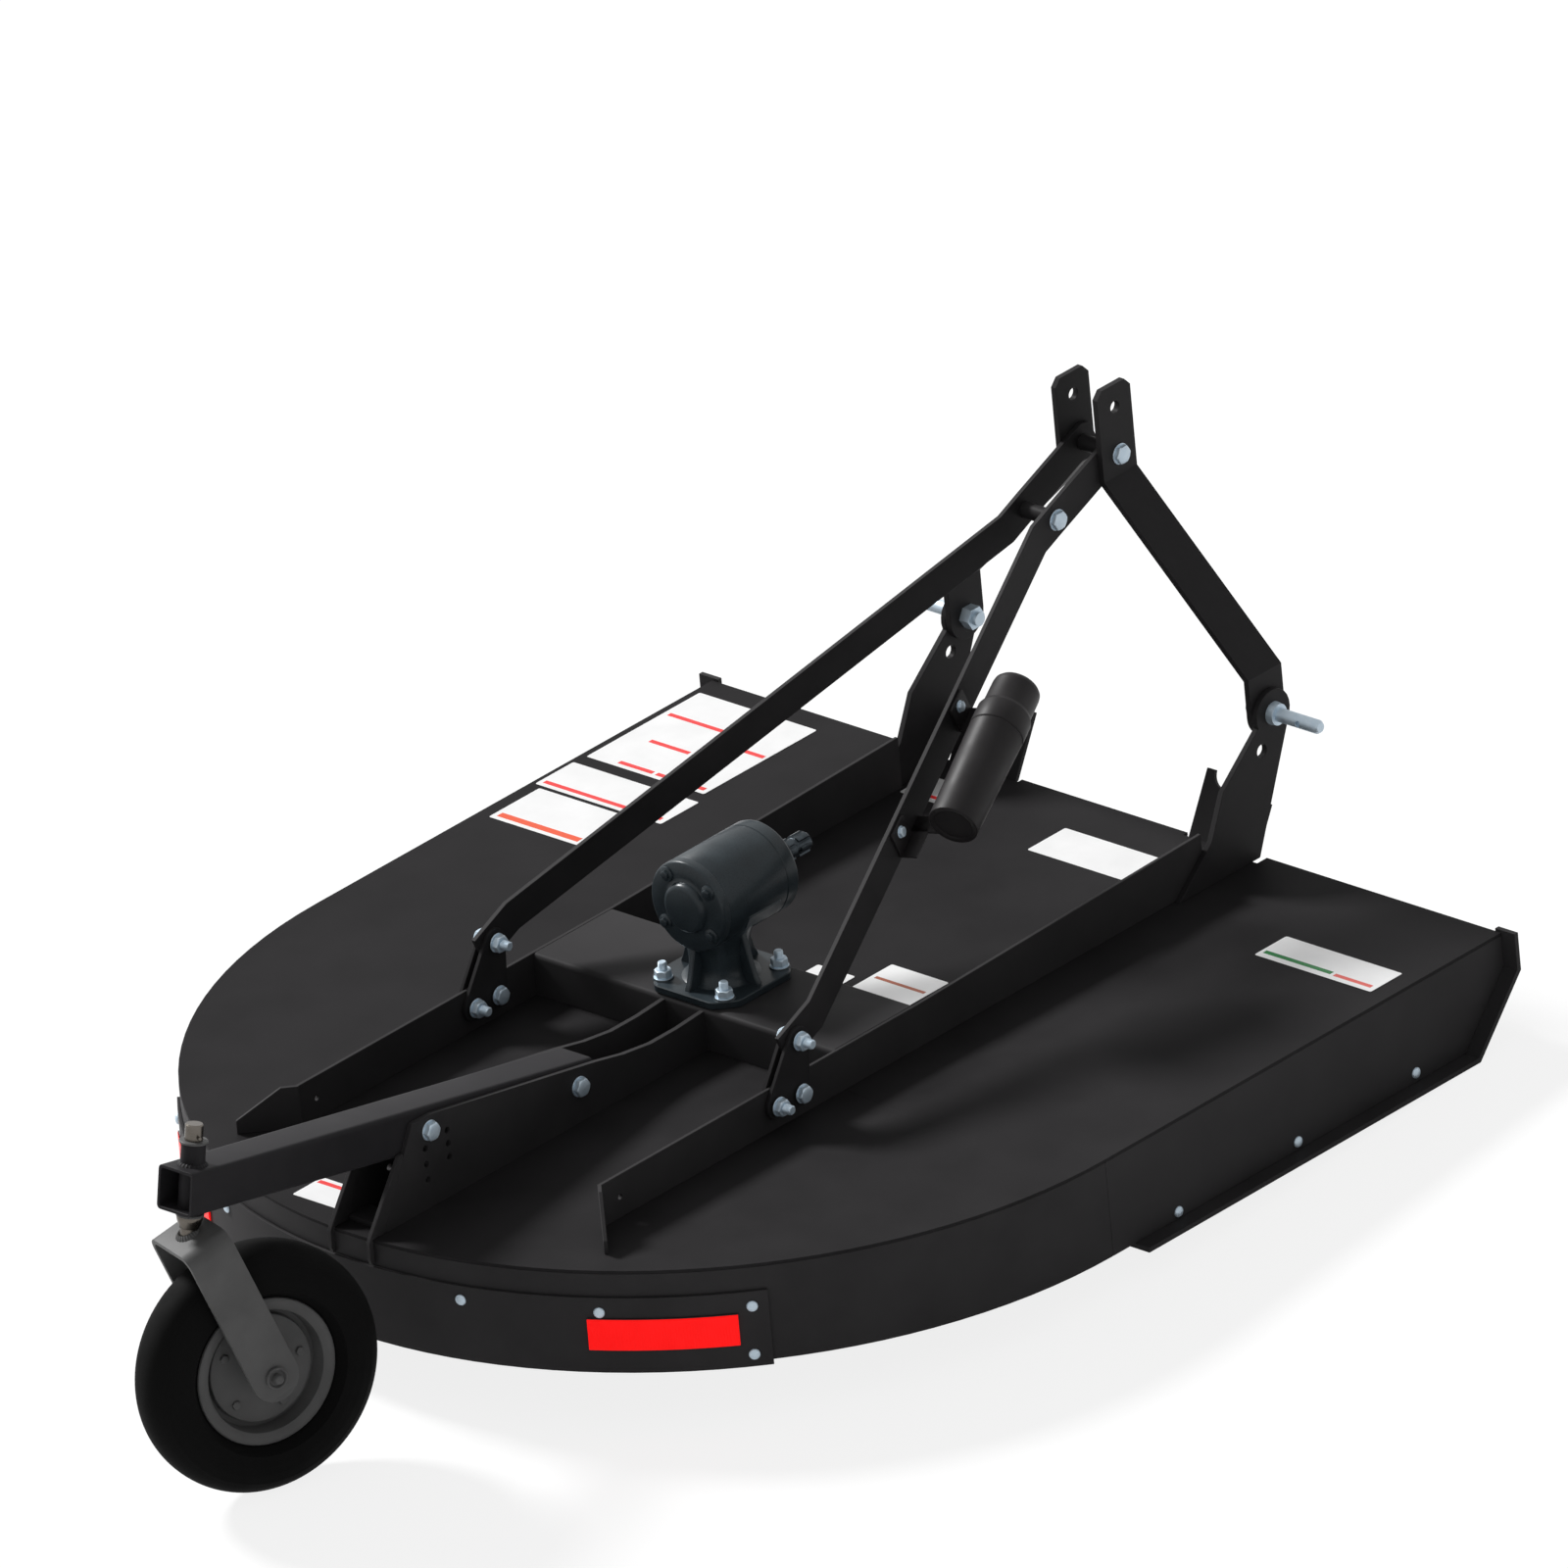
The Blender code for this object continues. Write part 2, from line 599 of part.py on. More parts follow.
def build_skids(root):
    """Bent flat strips under the side skirts, with a leg inside each skirt."""
    path = skid_path()
    outline = path + offset_path(path, SKID_THICKNESS)[::-1]
    width = SKID_INSIDE + SKID_OUTSIDE
    leg_x = HALF_DECK - SKIRT_THICKNESS - SEAT - SKID_LEG_THICKNESS / 2
    leg_front = SEAT + SKID_THICKNESS - SKID_NOSE_RUN - 0.02
    leg_low = SKID_BOTTOM + SKID_THICKNESS / 2
    leg_size = (SKID_LEG_THICKNESS, leg_front - SKID_REAR_Y, SKID_LEG_HEIGHT)
    leg_middle = ((leg_front + SKID_REAR_Y) / 2, leg_low + SKID_LEG_HEIGHT / 2)
    for side, name in ((-1, "left"), (1, "right")):
        x = side * (HALF_DECK - SKID_INSIDE + width / 2)
        strip = side_plate(outline, width, x)
        leg = box_mesh(leg_size, (side * leg_x, *leg_middle))
        piece(f"skid_{name}", joined(strip, [leg]), PAINT_BLACK, root)


def build_rails(root):
    """Upright webs along the deck, each with its rear tab bent outward."""
    bottom = SEAT
    web = [(RAIL_FRONT_Y, bottom), (RAIL_FRONT_Y, RAIL_HEIGHT_FRONT), (CROSS_FRONT_Y, RAIL_HEIGHT),
           (RAIL_FOLD_Y, RAIL_HEIGHT), (RAIL_FOLD_Y, bottom)]
    hole = circle(RAIL_FOLD_Y + RAIL_HOLE_FROM_FOLD, RAIL_HOLE_Z, RAIL_HOLE_RADIUS, 12)
    tab = [(-RAIL_THICKNESS / 2, bottom), (-RAIL_THICKNESS / 2, RAIL_HEIGHT), (RAIL_TAB_FLAT, RAIL_HEIGHT),
           (RAIL_TAB_LENGTH, RAIL_TAB_END_HEIGHT), (RAIL_TAB_LENGTH, bottom)]
    for side, name in ((-1, "left"), (1, "right")):
        x = side * RAIL_X
        base = side_plate(web, RAIL_THICKNESS, x, [hole])
        turn = Matrix.Rotation(side * RAIL_TAB_ANGLE - math.pi / 2, 4, "Z")
        fold = Matrix.Translation((x, RAIL_FOLD_Y, 0)) @ turn @ PLATE_XZ
        bent = moved(plate_mesh(tab, RAIL_THICKNESS), fold)
        piece(f"rail_{name}", joined(base, [bent]), PAINT_BLACK, root)


def build_crossmember(root):
    """Inverted channel between the rails, with the opening for the gearbox."""
    half = RAIL_X - RAIL_THICKNESS / 2 - SEAT
    wall = CROSS_THICKNESS
    lift = SEAT
    outer_round = CROSS_EDGE_ROUND
    top = CROSS_TOP

    def corner(y, start):
        return arc(y, top - outer_round, outer_round, start, start + math.pi / 2, 4)

    outline = [(CROSS_FRONT_Y, lift)]
    outline += corner(CROSS_FRONT_Y - outer_round, 0)
    outline += corner(CROSS_REAR_Y + outer_round, math.pi / 2)
    outline += [(CROSS_REAR_Y, lift), (CROSS_REAR_Y + wall, lift), (CROSS_REAR_Y + wall, top - wall),
                (CROSS_FRONT_Y - wall, top - wall), (CROSS_FRONT_Y - wall, lift)]
    channel = side_plate(outline, 2 * half, 0)
    bore = rod_mesh(GEAR_SNOUT_RADIUS + GEAR_SNOUT_CLEARANCE, 0, 2 * top, "Z", (0, ROTOR_Y, 0), 32)
    piece("crossmember", joined(channel, [bore], "DIFFERENCE"), PAINT_BLACK, root)


def clipped_square(half, clip):
    """Corner points of a square with its corners cut off, about the rotor's axis."""
    points = []
    for sx, sy in ((1, 1), (-1, 1), (-1, -1), (1, -1)):
        corner = [(sx * half, sy * (half - clip)), (sx * (half - clip), sy * half)]
        points += corner if sx * sy > 0 else corner[::-1]
    return [(x, ROTOR_Y + y) for x, y in points]


def build_gearbox(root):
    """Right-angle gearbox: flange, ribbed neck, case across the top and output snout."""
    base = CROSS_TOP + SEAT
    flange_top = base + GEAR_FLANGE_THICKNESS
    studs = [circle(sx * GEAR_STUD_OFFSET, ROTOR_Y + sy * GEAR_STUD_OFFSET, BOLT_RADIUS + AXLE_CLEARANCE, 12)
             for sx in (-1, 1) for sy in (-1, 1)]
    flange = plate_mesh(clipped_square(GEAR_FLANGE_HALF, GEAR_FLANGE_CLIP), GEAR_FLANGE_THICKNESS, studs)
    moved(flange, Matrix.Translation((0, 0, base + GEAR_FLANGE_THICKNESS / 2)))
    centre = (0, ROTOR_Y, 0)
    line = (0, 0, GEAR_AXIS_Z)
    neck = rod_mesh(GEAR_NECK_RADIUS, flange_top - 0.002, GEAR_AXIS_Z, "Z", centre, 32, GEAR_NECK_TOP_RADIUS)
    case = rod_mesh(GEAR_CASE_RADIUS, GEAR_REAR_Y, GEAR_FRONT_Y, "Y", line, 48)
    cap_rear = GEAR_REAR_Y - GEAR_REAR_CAP_DEPTH
    cap = rod_mesh(GEAR_REAR_CAP_RADIUS, cap_rear, GEAR_REAR_Y + 0.002, "Y", line, 32)
    nose = rod_mesh(GEAR_NOSE_RADIUS, GEAR_FRONT_Y - 0.002, GEAR_FRONT_Y + GEAR_NOSE_LENGTH, "Y", line, 32)
    snout = rod_mesh(GEAR_SNOUT_RADIUS, DECK_BOTTOM - GEAR_SNOUT_LENGTH, base + 0.004, "Z", centre, 32)
    ribs = []
    rib = [(0, flange_top - 0.002), (GEAR_RIB_REACH, flange_top - 0.002),
           (GEAR_RIB_REACH, flange_top + 0.004),
           (GEAR_NECK_TOP_RADIUS, GEAR_AXIS_Z - 0.035), (0, GEAR_AXIS_Z - 0.035)]
    for quarter in range(4):
        turn = Matrix.Translation(centre) @ Matrix.Rotation(math.pi / 2 * quarter, 4, "Z")
        ribs.append(moved(plate_mesh(rib, GEAR_RIB_THICKNESS), turn @ PLATE_XZ))
    body = joined(flange, [neck, case, cap, nose, snout, *ribs])
    input_bore = rod_mesh(SHAFT_RADIUS + AXLE_CLEARANCE, GEAR_FRONT_Y + GEAR_NOSE_LENGTH - SHAFT_BORE_DEPTH,
                          GEAR_FRONT_Y + 2 * GEAR_NOSE_LENGTH, "Y", line, 24)
    output_bore = rod_mesh(OUTPUT_RADIUS + AXLE_CLEARANCE, DECK_BOTTOM - 2 * GEAR_SNOUT_LENGTH,
                           DECK_BOTTOM - GEAR_SNOUT_LENGTH + OUTPUT_BORE_DEPTH, "Z", centre, 24)
    piece("gearbox", joined(body, [input_bore, output_bore], "DIFFERENCE"), PAINT_GEARBOX, root)


def build_input_shaft(root):
    """Splined power shaft, turning about the machine's Y axis."""
    frame = empty("input_shaft_axis", root, (0, GEAR_FRONT_Y, GEAR_AXIS_Z))
    start = GEAR_NOSE_LENGTH - SHAFT_BORE_DEPTH + SEAT
    end = SHAFT_FRONT_Y - GEAR_FRONT_Y
    shaft = rod_mesh(SHAFT_RADIUS, start, end, "Y", (0, 0, 0), 24)
    slots = []
    free = GEAR_NOSE_LENGTH + 0.010
    for k in range(SPLINE_COUNT):
        turn = Matrix.Rotation(math.tau * k / SPLINE_COUNT, 4, "Y")
        slot = box_mesh((SPLINE_WIDTH, end - free + 0.01, SPLINE_DEPTH * 2),
                        (0, (end + free) / 2 + 0.005, SHAFT_RADIUS))
        slots.append(moved(slot, turn))
    groove_y = end - SHAFT_GROOVE_FROM_END
    groove = SHAFT_RADIUS - SHAFT_GROOVE_DEPTH
    side = SHAFT_GROOVE_WIDTH / 2
    ring = [(groove, -side), (SHAFT_RADIUS * 2, -side), (SHAFT_RADIUS * 2, side), (groove, side)]
    slots.append(turned_mesh(ring, 24, Matrix.Translation((0, groove_y, 0)) @ AXIS_TURN["Y"]))
    piece("input_shaft", joined(shaft, slots, "DIFFERENCE"), STEEL, frame)


def build_rotor(root):
    """Blade carrier on the gearbox's output shaft, with its two pivots and blades."""
    frame = empty("rotor_axis", root, (0, ROTOR_Y, 0), (0, 0, BLADE_SET_ANGLE))
    t = CARRIER_THICKNESS
    flat = BLADE_PIVOT_RADIUS + BLADE_PIN_HEAD_RADIUS + 0.006
    rim = flat + CARRIER_RIM
    rim_low = CARRIER_Z - CARRIER_DISH
    profile = [(0, CARRIER_Z), (flat, CARRIER_Z), (rim, rim_low), (rim, rim_low + t * 1.2),
               (flat + 0.002, CARRIER_Z + t), (0, CARRIER_Z + t)]
    pan = turned_mesh(profile, CARRIER_SEGMENTS)
    hub = rod_mesh(HUB_RADIUS, CARRIER_Z - HUB_BELOW, DECK_BOTTOM - GEAR_SNOUT_LENGTH - 0.010, "Z", sides=32)
    shaft_top = DECK_BOTTOM - GEAR_SNOUT_LENGTH + OUTPUT_BORE_DEPTH - 0.004
    shaft = rod_mesh(OUTPUT_RADIUS, CARRIER_Z, shaft_top, "Z", sides=24)
    blade_top = rim_low - BLADE_DROP
    blade_low = blade_top - BLADE_THICKNESS
    pivots = []
    for side in (-1, 1):
        centre = (side * BLADE_PIVOT_RADIUS, 0, 0)
        head_top = blade_low - 0.002
        pivots.append(rod_mesh(BLADE_PIN_RADIUS, head_top - 0.004, CARRIER_Z + t + 0.012, "Z", centre, 24))
        head_low = head_top - BLADE_PIN_HEAD_HEIGHT
        pivots.append(rod_mesh(BLADE_PIN_HEAD_RADIUS, head_low, head_top, "Z", centre, 24))
        pan_top = CARRIER_Z + t
        pivots.append(rod_mesh(BLADE_PIN_HEAD_RADIUS, pan_top - 0.001, pan_top + 0.010, "Z", centre, 6))
    piece("blade_carrier", joined(pan, [hub, shaft, *pivots]), PAINT_BLACK, frame)
    for side, name in ((1, "a"), (-1, "b")):
        build_blade(frame, side, name, (blade_top + blade_low) / 2)


def build_blade(frame, side, name, z):
    """One swinging blade, its origin on its pivot, with a lifted trailing edge at the tip."""
    turn = 0.0 if side > 0 else math.pi
    pivot = empty(f"blade_{name}_axis", frame, (side * BLADE_PIVOT_RADIUS, 0, z), (0, 0, turn))
    length = BLADE_TIP_RADIUS - BLADE_PIVOT_RADIUS
    half = BLADE_WIDTH / 2
    outline = [(length, -half), (length, half)] + arc(0, 0, half, math.pi / 2, math.pi * 1.5, 12)
    hole = circle(0, 0, BLADE_PIN_RADIUS + AXLE_CLEARANCE, 24)
    flat = plate_mesh(outline, BLADE_THICKNESS, [hole])
    wing_profile = [(half - 0.004, -BLADE_THICKNESS / 2), (half + 0.020, BLADE_LIFT - BLADE_THICKNESS / 2),
                    (half + 0.020, BLADE_LIFT + BLADE_THICKNESS * 0.3), (half - 0.016, BLADE_THICKNESS / 2)]
    wing = plate_mesh(wing_profile, BLADE_LIFT_LENGTH)
    moved(wing, Matrix.Translation((length - BLADE_LIFT_LENGTH / 2, 0, 0)) @ PLATE_YZ)
    piece(f"blade_{name}", joined(flat, [wing]), BLADE_STEEL, pivot)


def build_uprights(root):
    """Lower hitch plates beside the rails' front ends, each with a flange turned inward."""
    front = UPRIGHT_TOP_RADIUS
    top_arc = arc(HITCH_PIN_Y, HITCH_PIN_Z, front, math.radians(-20), math.radians(200), 14)
    outline = [(UPRIGHT_REAR_Y, SEAT), (UPRIGHT_FRONT_Y, SEAT)] + top_arc
    outline += [(UPRIGHT_NOTCH_Y, UPRIGHT_NOTCH_Z), (-0.108, RAIL_HEIGHT_FRONT - 0.016)]
    holes = [circle(UPRIGHT_HOLE_Y, UPRIGHT_HOLE_Z, UPRIGHT_HOLE_RADIUS, 16),
             circle(HITCH_PIN_Y, HITCH_PIN_Z, PIN_RADIUS + AXLE_CLEARANCE, 24)]
    for side, name in ((-1, "left"), (1, "right")):
        web = side_plate(outline, UPRIGHT_THICKNESS, side * UPRIGHT_X, holes)
        piece(f"upright_{name}", web, PAINT_BLACK, root)
        piece(f"upright_stay_{name}", stay_mesh(side), PAINT_BLACK, root)


def stay_mesh(side):
    """Leaning plate across the deck's front edge, from a horn at its inner end to the upright."""
    outer = UPRIGHT_X - UPRIGHT_THICKNESS / 2 - SEAT
    width = outer - STAY_INNER_X
    low = STAY_HEIGHT - STAY_HOLLOW_RADIUS
    middle = STAY_HORN_WIDTH + STAY_HOLLOW_RADIUS
    hollow = arc(middle, STAY_HEIGHT, STAY_HOLLOW_RADIUS, math.pi, math.pi * 1.5, 8)
    outline = [(0, 0), (0, STAY_HEIGHT)] + hollow + [(width, low), (width, 0)]
    plate = plate_mesh(outline, STAY_THICKNESS)
    if side < 0:
        moved(plate, Matrix.Diagonal((-1, 1, 1, 1)))
        plate.flip_normals()
    lean = Matrix.Rotation(math.pi / 2 - STAY_LEAN, 4, "X")
    shift = Matrix.Translation((side * STAY_INNER_X, STAY_FOOT_Y, DECK_BOTTOM))
    half = Matrix.Translation((0, 0, -STAY_THICKNESS / 2))
    moved(plate, shift @ lean @ half)
    floor = box_mesh((0.4, 0.1, 0.04), (side * 0.25, 0, DECK_BOTTOM - 0.02))
    return joined(plate, [floor], "DIFFERENCE")


def build_hitch_pins(root):
    """Lower hitch pins through upright and mast bar, nut inboard."""
    face = UPRIGHT_X + UPRIGHT_THICKNESS / 2 + SEAT
    inner = MAST_FOOT_X - MAST_THICKNESS / 2 - SEAT
    start = inner - PIN_NUT_LENGTH - PIN_THREAD_LENGTH
    profile = [(0, start), (PIN_RADIUS, start), (PIN_RADIUS, face), (PIN_COLLAR_RADIUS, face),
               (PIN_COLLAR_RADIUS * 0.92, face + PIN_COLLAR_LENGTH), (PIN_RADIUS, face + PIN_COLLAR_LENGTH),
               (PIN_RADIUS, PIN_END_X - 0.005), (PIN_RADIUS * 0.7, PIN_END_X), (0, PIN_END_X)]
    for side, name in ((-1, "left"), (1, "right")):
        turn = Matrix.Rotation(0 if side > 0 else math.pi, 4, "Z") @ AXIS_TURN["X"]
        place = Matrix.Translation((0, HITCH_PIN_Y, HITCH_PIN_Z))
        pin = turned_mesh(profile, 24, place @ turn)
        span = sorted((side * (inner - PIN_NUT_LENGTH), side * inner))
        nut = rod_mesh(PIN_NUT_RADIUS, *span, "X", (0, HITCH_PIN_Y, HITCH_PIN_Z), 6)
        cross = (side * LINCH_HOLE_X, HITCH_PIN_Y, HITCH_PIN_Z)
        hole = rod_mesh(LINCH_HOLE_RADIUS, -0.03, 0.03, "Y", cross, 12)
        piece(f"hitch_pin_{name}", joined(joined(pin, [nut]), [hole], "DIFFERENCE"), ZINC, root)


def bent_bar(points, thickness, width):
    """A flat bar bent along an open (a, b) path, as wide as given across it."""
    half = thickness / 2
    outline = offset_path(points, half) + offset_path(points, -half)[::-1]
    return plate_mesh(outline, width)


def build_mast(root):
    """Mast bars from the lower pins up to the top link, splayed between two bends."""
    foot_low = HITCH_PIN_Z - MAST_WIDTH / 2
    for side, name in ((-1, "left"), (1, "right")):
        path = [(side * MAST_TOP_X, MAST_TOP_Z), (side * MAST_TOP_X, MAST_UPPER_BEND_Z),
                (side * MAST_FOOT_X, MAST_LOWER_BEND_Z), (side * MAST_FOOT_X, foot_low)]
        bar = moved(bent_bar(path, MAST_THICKNESS, MAST_WIDTH),
                    Matrix.Translation((0, MAST_CENTRE_Y, 0)) @ PLATE_XZ)
        silhouette = arc(MAST_CENTRE_Y, HITCH_PIN_Z, MAST_WIDTH / 2, math.pi, math.tau, 16)
        high = MAST_TOP_Z
        half = MAST_WIDTH / 2 + 0.001
        front = MAST_CENTRE_Y + half
        back = MAST_CENTRE_Y - half
        shoulder = high - MAST_CHAMFER
        silhouette += [(front, shoulder), (front - MAST_CHAMFER, high + 0.001),
                       (back + MAST_CHAMFER, high + 0.001), (back, shoulder)]
        trim = side_plate(silhouette, 2 * MAST_FOOT_X, side * MAST_FOOT_X / 2 * 1.2)
        shaped = joined(bar, [trim], "INTERSECT")
        top = (0, MAST_CENTRE_Y, TOP_LINK_Z)
        reach = sorted((0, side * 0.2))
        foot = sorted((side * 0.2, side * 0.5))
        drills = [rod_mesh(TOP_LINK_RADIUS, *reach, "X", top, 20),
                  rod_mesh(BOLT_RADIUS + AXLE_CLEARANCE, *reach, "X", (0, MAST_BOLT_Y, MAST_BOLT_Z), 16),
                  rod_mesh(PIN_RADIUS + AXLE_CLEARANCE, *foot, "X", (0, HITCH_PIN_Y, HITCH_PIN_Z), 24)]
        piece(f"mast_bar_{name}", joined(shaped, drills, "DIFFERENCE"), PAINT_BLACK, root)


def build_mast_bolts(root):
    """Two through bolts, each with a spacer tube on it."""
    half_spacer = BRACE_TOP_X - BRACE_THICKNESS / 2 - SEAT
    rows = (
        ("mast_bolt_upper", MAST_BOLT_Y, MAST_BOLT_Z, MAST_TOP_X + MAST_THICKNESS / 2 + SEAT),
        ("mast_bolt_lower", BRACE_BOLT_Y, BRACE_BOLT_Z, BRACE_TOP_X + BRACE_THICKNESS / 2 + SEAT),
    )
    for name, y, z, outer in rows:
        bolt = bolt_mesh(-outer, outer, y, z, 1)
        spacer = rod_mesh(SPACER_RADIUS, -half_spacer, half_spacer, "X", (0, y, z), 24)
        piece(name, joined(bolt, [spacer]), ZINC, root)


def brace_points():
    """Side view of a brace's centre line, as (y, z): upper bolt, lower bolt, kink, bracket bolt."""
    start = Vector((MAST_BOLT_Y, MAST_BOLT_Z))
    second = Vector((BRACE_BOLT_Y, BRACE_BOLT_Z))
    end = Vector((BRACKET_BOLT_Y, BRACKET_BOLT_Z))
    share = (BRACE_KINK_Y - second.x) / (end.x - second.x)
    kink = second.lerp(end, share)
    return start, second, kink, end


def build_braces(root):
    """Flat braces from between the mast bars down to the rail brackets."""
    start, second, kink, end = brace_points()
    half = BRACE_WIDTH / 2
    bend = second.lerp(kink, BRACE_SPLAY_START)

    def section(point, direction, x, share=1.0):
        normal = Vector((-direction.y, direction.x)) * half * share
        upper = point + normal
        lower = point - normal
        return [Vector((x - BRACE_THICKNESS / 2, *lower)), Vector((x + BRACE_THICKNESS / 2, *lower)),
                Vector((x + BRACE_THICKNESS / 2, *upper)), Vector((x - BRACE_THICKNESS / 2, *upper))]

    run = (end - second).normalized()
    lead = (second - start).normalized()
    for side, name in ((-1, "left"), (1, "right")):
        top_x = side * BRACE_TOP_X
        low_x = side * RAIL_X
        stations = [
            section(start - lead * BRACE_END_RADIUS, -lead, top_x, BRACE_END_TAPER),
            section(start - lead * BRACE_END_RADIUS * 0.4, -lead, top_x),
            section(second, -(lead + run).normalized(), top_x),
            section(bend, -run, top_x),
            section(kink, -run, low_x),
            section(end + run * BRACE_END_RADIUS, -run, low_x),
        ]
        holes = [rod_mesh(BOLT_RADIUS + AXLE_CLEARANCE, *sorted((side * a, side * b)), "X", (0, *p), 16)
                 for p, a, b in ((start, 0.0, 0.15), (second, 0.0, 0.15), (end, 0.2, 0.4))]
        mesh = joined(loft(stations), holes, "DIFFERENCE")
        piece(f"brace_{name}", mesh, PAINT_BLACK, root)


def loft(stations):
    """A closed bar through four-cornered sections."""
    def build(bm):
        rings = [[bm.verts.new(p) for p in ring] for ring in stations]
        for here, there in zip(rings, rings[1:]):
            for k in range(4):
                j = (k + 1) % 4
                bm.faces.new((here[k], here[j], there[j], there[k]))
        bm.faces.new(rings[0][::-1])
        bm.faces.new(rings[-1])
    return mesh_from(build)


def build_brackets(root):
    """Bracket plates, one each side of a rail's web, with the brace's end between them."""
    corners = [Vector((BRACKET_BOLT_Y, BRACKET_BOLT_Z)), Vector((BRACKET_BACK_Y, BRACKET_LOW_Z)),
               Vector((BRACKET_FRONT_Y, BRACKET_LOW_Z))]
    outline = []
    count = len(corners)
    for k, corner in enumerate(corners):
        before = corner - corners[k - 1]
        after = corners[(k + 1) % count] - corner
        first = math.atan2(before.y, before.x) - math.pi / 2
        last = math.atan2(after.y, after.x) - math.pi / 2
        while last < first:
            last += math.tau
        outline += arc(corner.x, corner.y, BRACKET_MARGIN, first, last, 6)
    holes = [circle(c.x, c.y, BOLT_RADIUS + AXLE_CLEARANCE, 16) for c in corners]
    offset = RAIL_THICKNESS / 2 + SEAT + BRACKET_THICKNESS / 2
    for side, name in ((-1, "left"), (1, "right")):
        for place, sign in (("outer", side), ("inner", -side)):
            x = side * RAIL_X + sign * (offset + (BRACE_THICKNESS - RAIL_THICKNESS) / 2)
            plate = side_plate(outline, BRACKET_THICKNESS, x, holes)
            piece(f"bracket_{name}_{place}", plate, PAINT_BLACK, root)


def build_tail_plates(root):
    """Side plates of the tail arm, from the crossmember to the deck's rear edge."""
    front = CROSS_REAR_Y - SEAT
    top_at = ARM_SIZE / 2 / math.cos(ARM_SLOPE) - 0.006
    hollow = [(front, CROSS_TOP - 0.004), (-1.010, 0.062), (-1.070, 0.062), (-1.130, 0.070), (-1.190, 0.083)]
    rear_top = (TAIL_TOP_REAR_Y, arm_z(TAIL_TOP_REAR_Y) + top_at - 0.012)
    outline = [(front, SEAT)] + hollow
    outline += [(TAIL_TOP_REAR_Y + 0.045, arm_z(TAIL_TOP_REAR_Y + 0.045) + top_at - 0.004), rear_top,
                (TAIL_PLATE_REAR_Y, SEAT + 0.010), (TAIL_PLATE_REAR_Y, SEAT)]
    bolts = [(ARM_PIVOT_Y, ARM_PIVOT_Z), (HEIGHT_BOLT_Y, arm_z(HEIGHT_BOLT_Y))]
    holes = [circle(y, z, BOLT_RADIUS + AXLE_CLEARANCE, 16) for y, z in bolts]
    first = arm_z(HEIGHT_BOLT_Y)
    holes += [circle(HEIGHT_BOLT_Y - 0.012, first - TAIL_HOLE_RISE * k, ARM_HOLE_RADIUS, 12)
              for k in (1, 2, 3)]
    holes += [circle(HEIGHT_BOLT_Y + 0.038, first - 0.016 - TAIL_HOLE_RISE * 0.85 * k, ARM_HOLE_RADIUS, 12)
              for k in (0, 1, 2)]
    for side, name in ((-1, "left"), (1, "right")):
        piece(f"tail_plate_{name}", side_plate(outline, TAIL_PLATE_THICKNESS, side * TAIL_PLATE_X, holes),
              PAINT_BLACK, root)
    width = ARM_SIZE
    centre = (0, TAIL_PLATE_REAR_Y + TAIL_CROSS_LENGTH / 2, SEAT + TAIL_CROSS_THICKNESS / 2)
    plate = box_mesh((width, TAIL_CROSS_LENGTH, TAIL_CROSS_THICKNESS), centre)
    piece("tail_cross_plate", plate, PAINT_BLACK, root)
    grip = TAIL_PLATE_X + TAIL_PLATE_THICKNESS / 2 + SEAT
    for name, (y, z) in zip(("tail_bolt_pivot", "tail_bolt_height"), bolts):
        piece(name, bolt_mesh(-grip, grip, y, z, 1), ZINC, root)


def arm_frame(root):
    """Frame of the tail arm: X across, Y along it to the front, Z square to it."""
    return empty("tail_arm_frame", root, (0, ARM_PIVOT_Y, ARM_PIVOT_Z), (-ARM_SLOPE, 0, 0))


def along_arm(y):
    """Distance along the arm from its pivot to a place given by its deck-frame y."""
    return (y - ARM_PIVOT_Y) / math.cos(ARM_SLOPE)


def build_tail_arm(root):
    """Open square tube with the caster's upright tube through its rear end."""
    frame = arm_frame(root)
    front = along_arm(ARM_FRONT_Y)
    rear = along_arm(ARM_REAR_Y)
    caster = along_arm(CASTER_Y)
    half = ARM_SIZE / 2
    inner = half - ARM_WALL
    length = front - rear
    middle = (front + rear) / 2
    tube = joined(box_mesh((ARM_SIZE, length, ARM_SIZE), (0, middle, 0)),
                  [box_mesh((2 * inner, length + 0.02, 2 * inner), (0, middle, 0))], "DIFFERENCE")
    sleeve_low = -half - CASTER_TUBE_BELOW
    sleeve = rod_mesh(CASTER_TUBE_RADIUS, sleeve_low, half + CASTER_TUBE_ABOVE, "Z", (0, caster, 0), 32)
    bore = rod_mesh(SPINDLE_RADIUS + AXLE_CLEARANCE, -0.2, 0.2, "Z", (0, caster, 0), 32)
    height_at = along_arm(HEIGHT_BOLT_Y)
    drills = [rod_mesh(BOLT_RADIUS + AXLE_CLEARANCE, -0.1, 0.1, "X", (0, 0, 0), 16),
              rod_mesh(BOLT_RADIUS + AXLE_CLEARANCE, -0.1, 0.1, "X", (0, height_at, 0), 16)]
    body = joined(joined(tube, [sleeve]), [bore, *drills], "DIFFERENCE")
    piece("tail_arm", body, PAINT_BLACK, frame)
    return empty("caster_axis", frame, (0, caster, 0), (0, 0, CASTER_STEER))


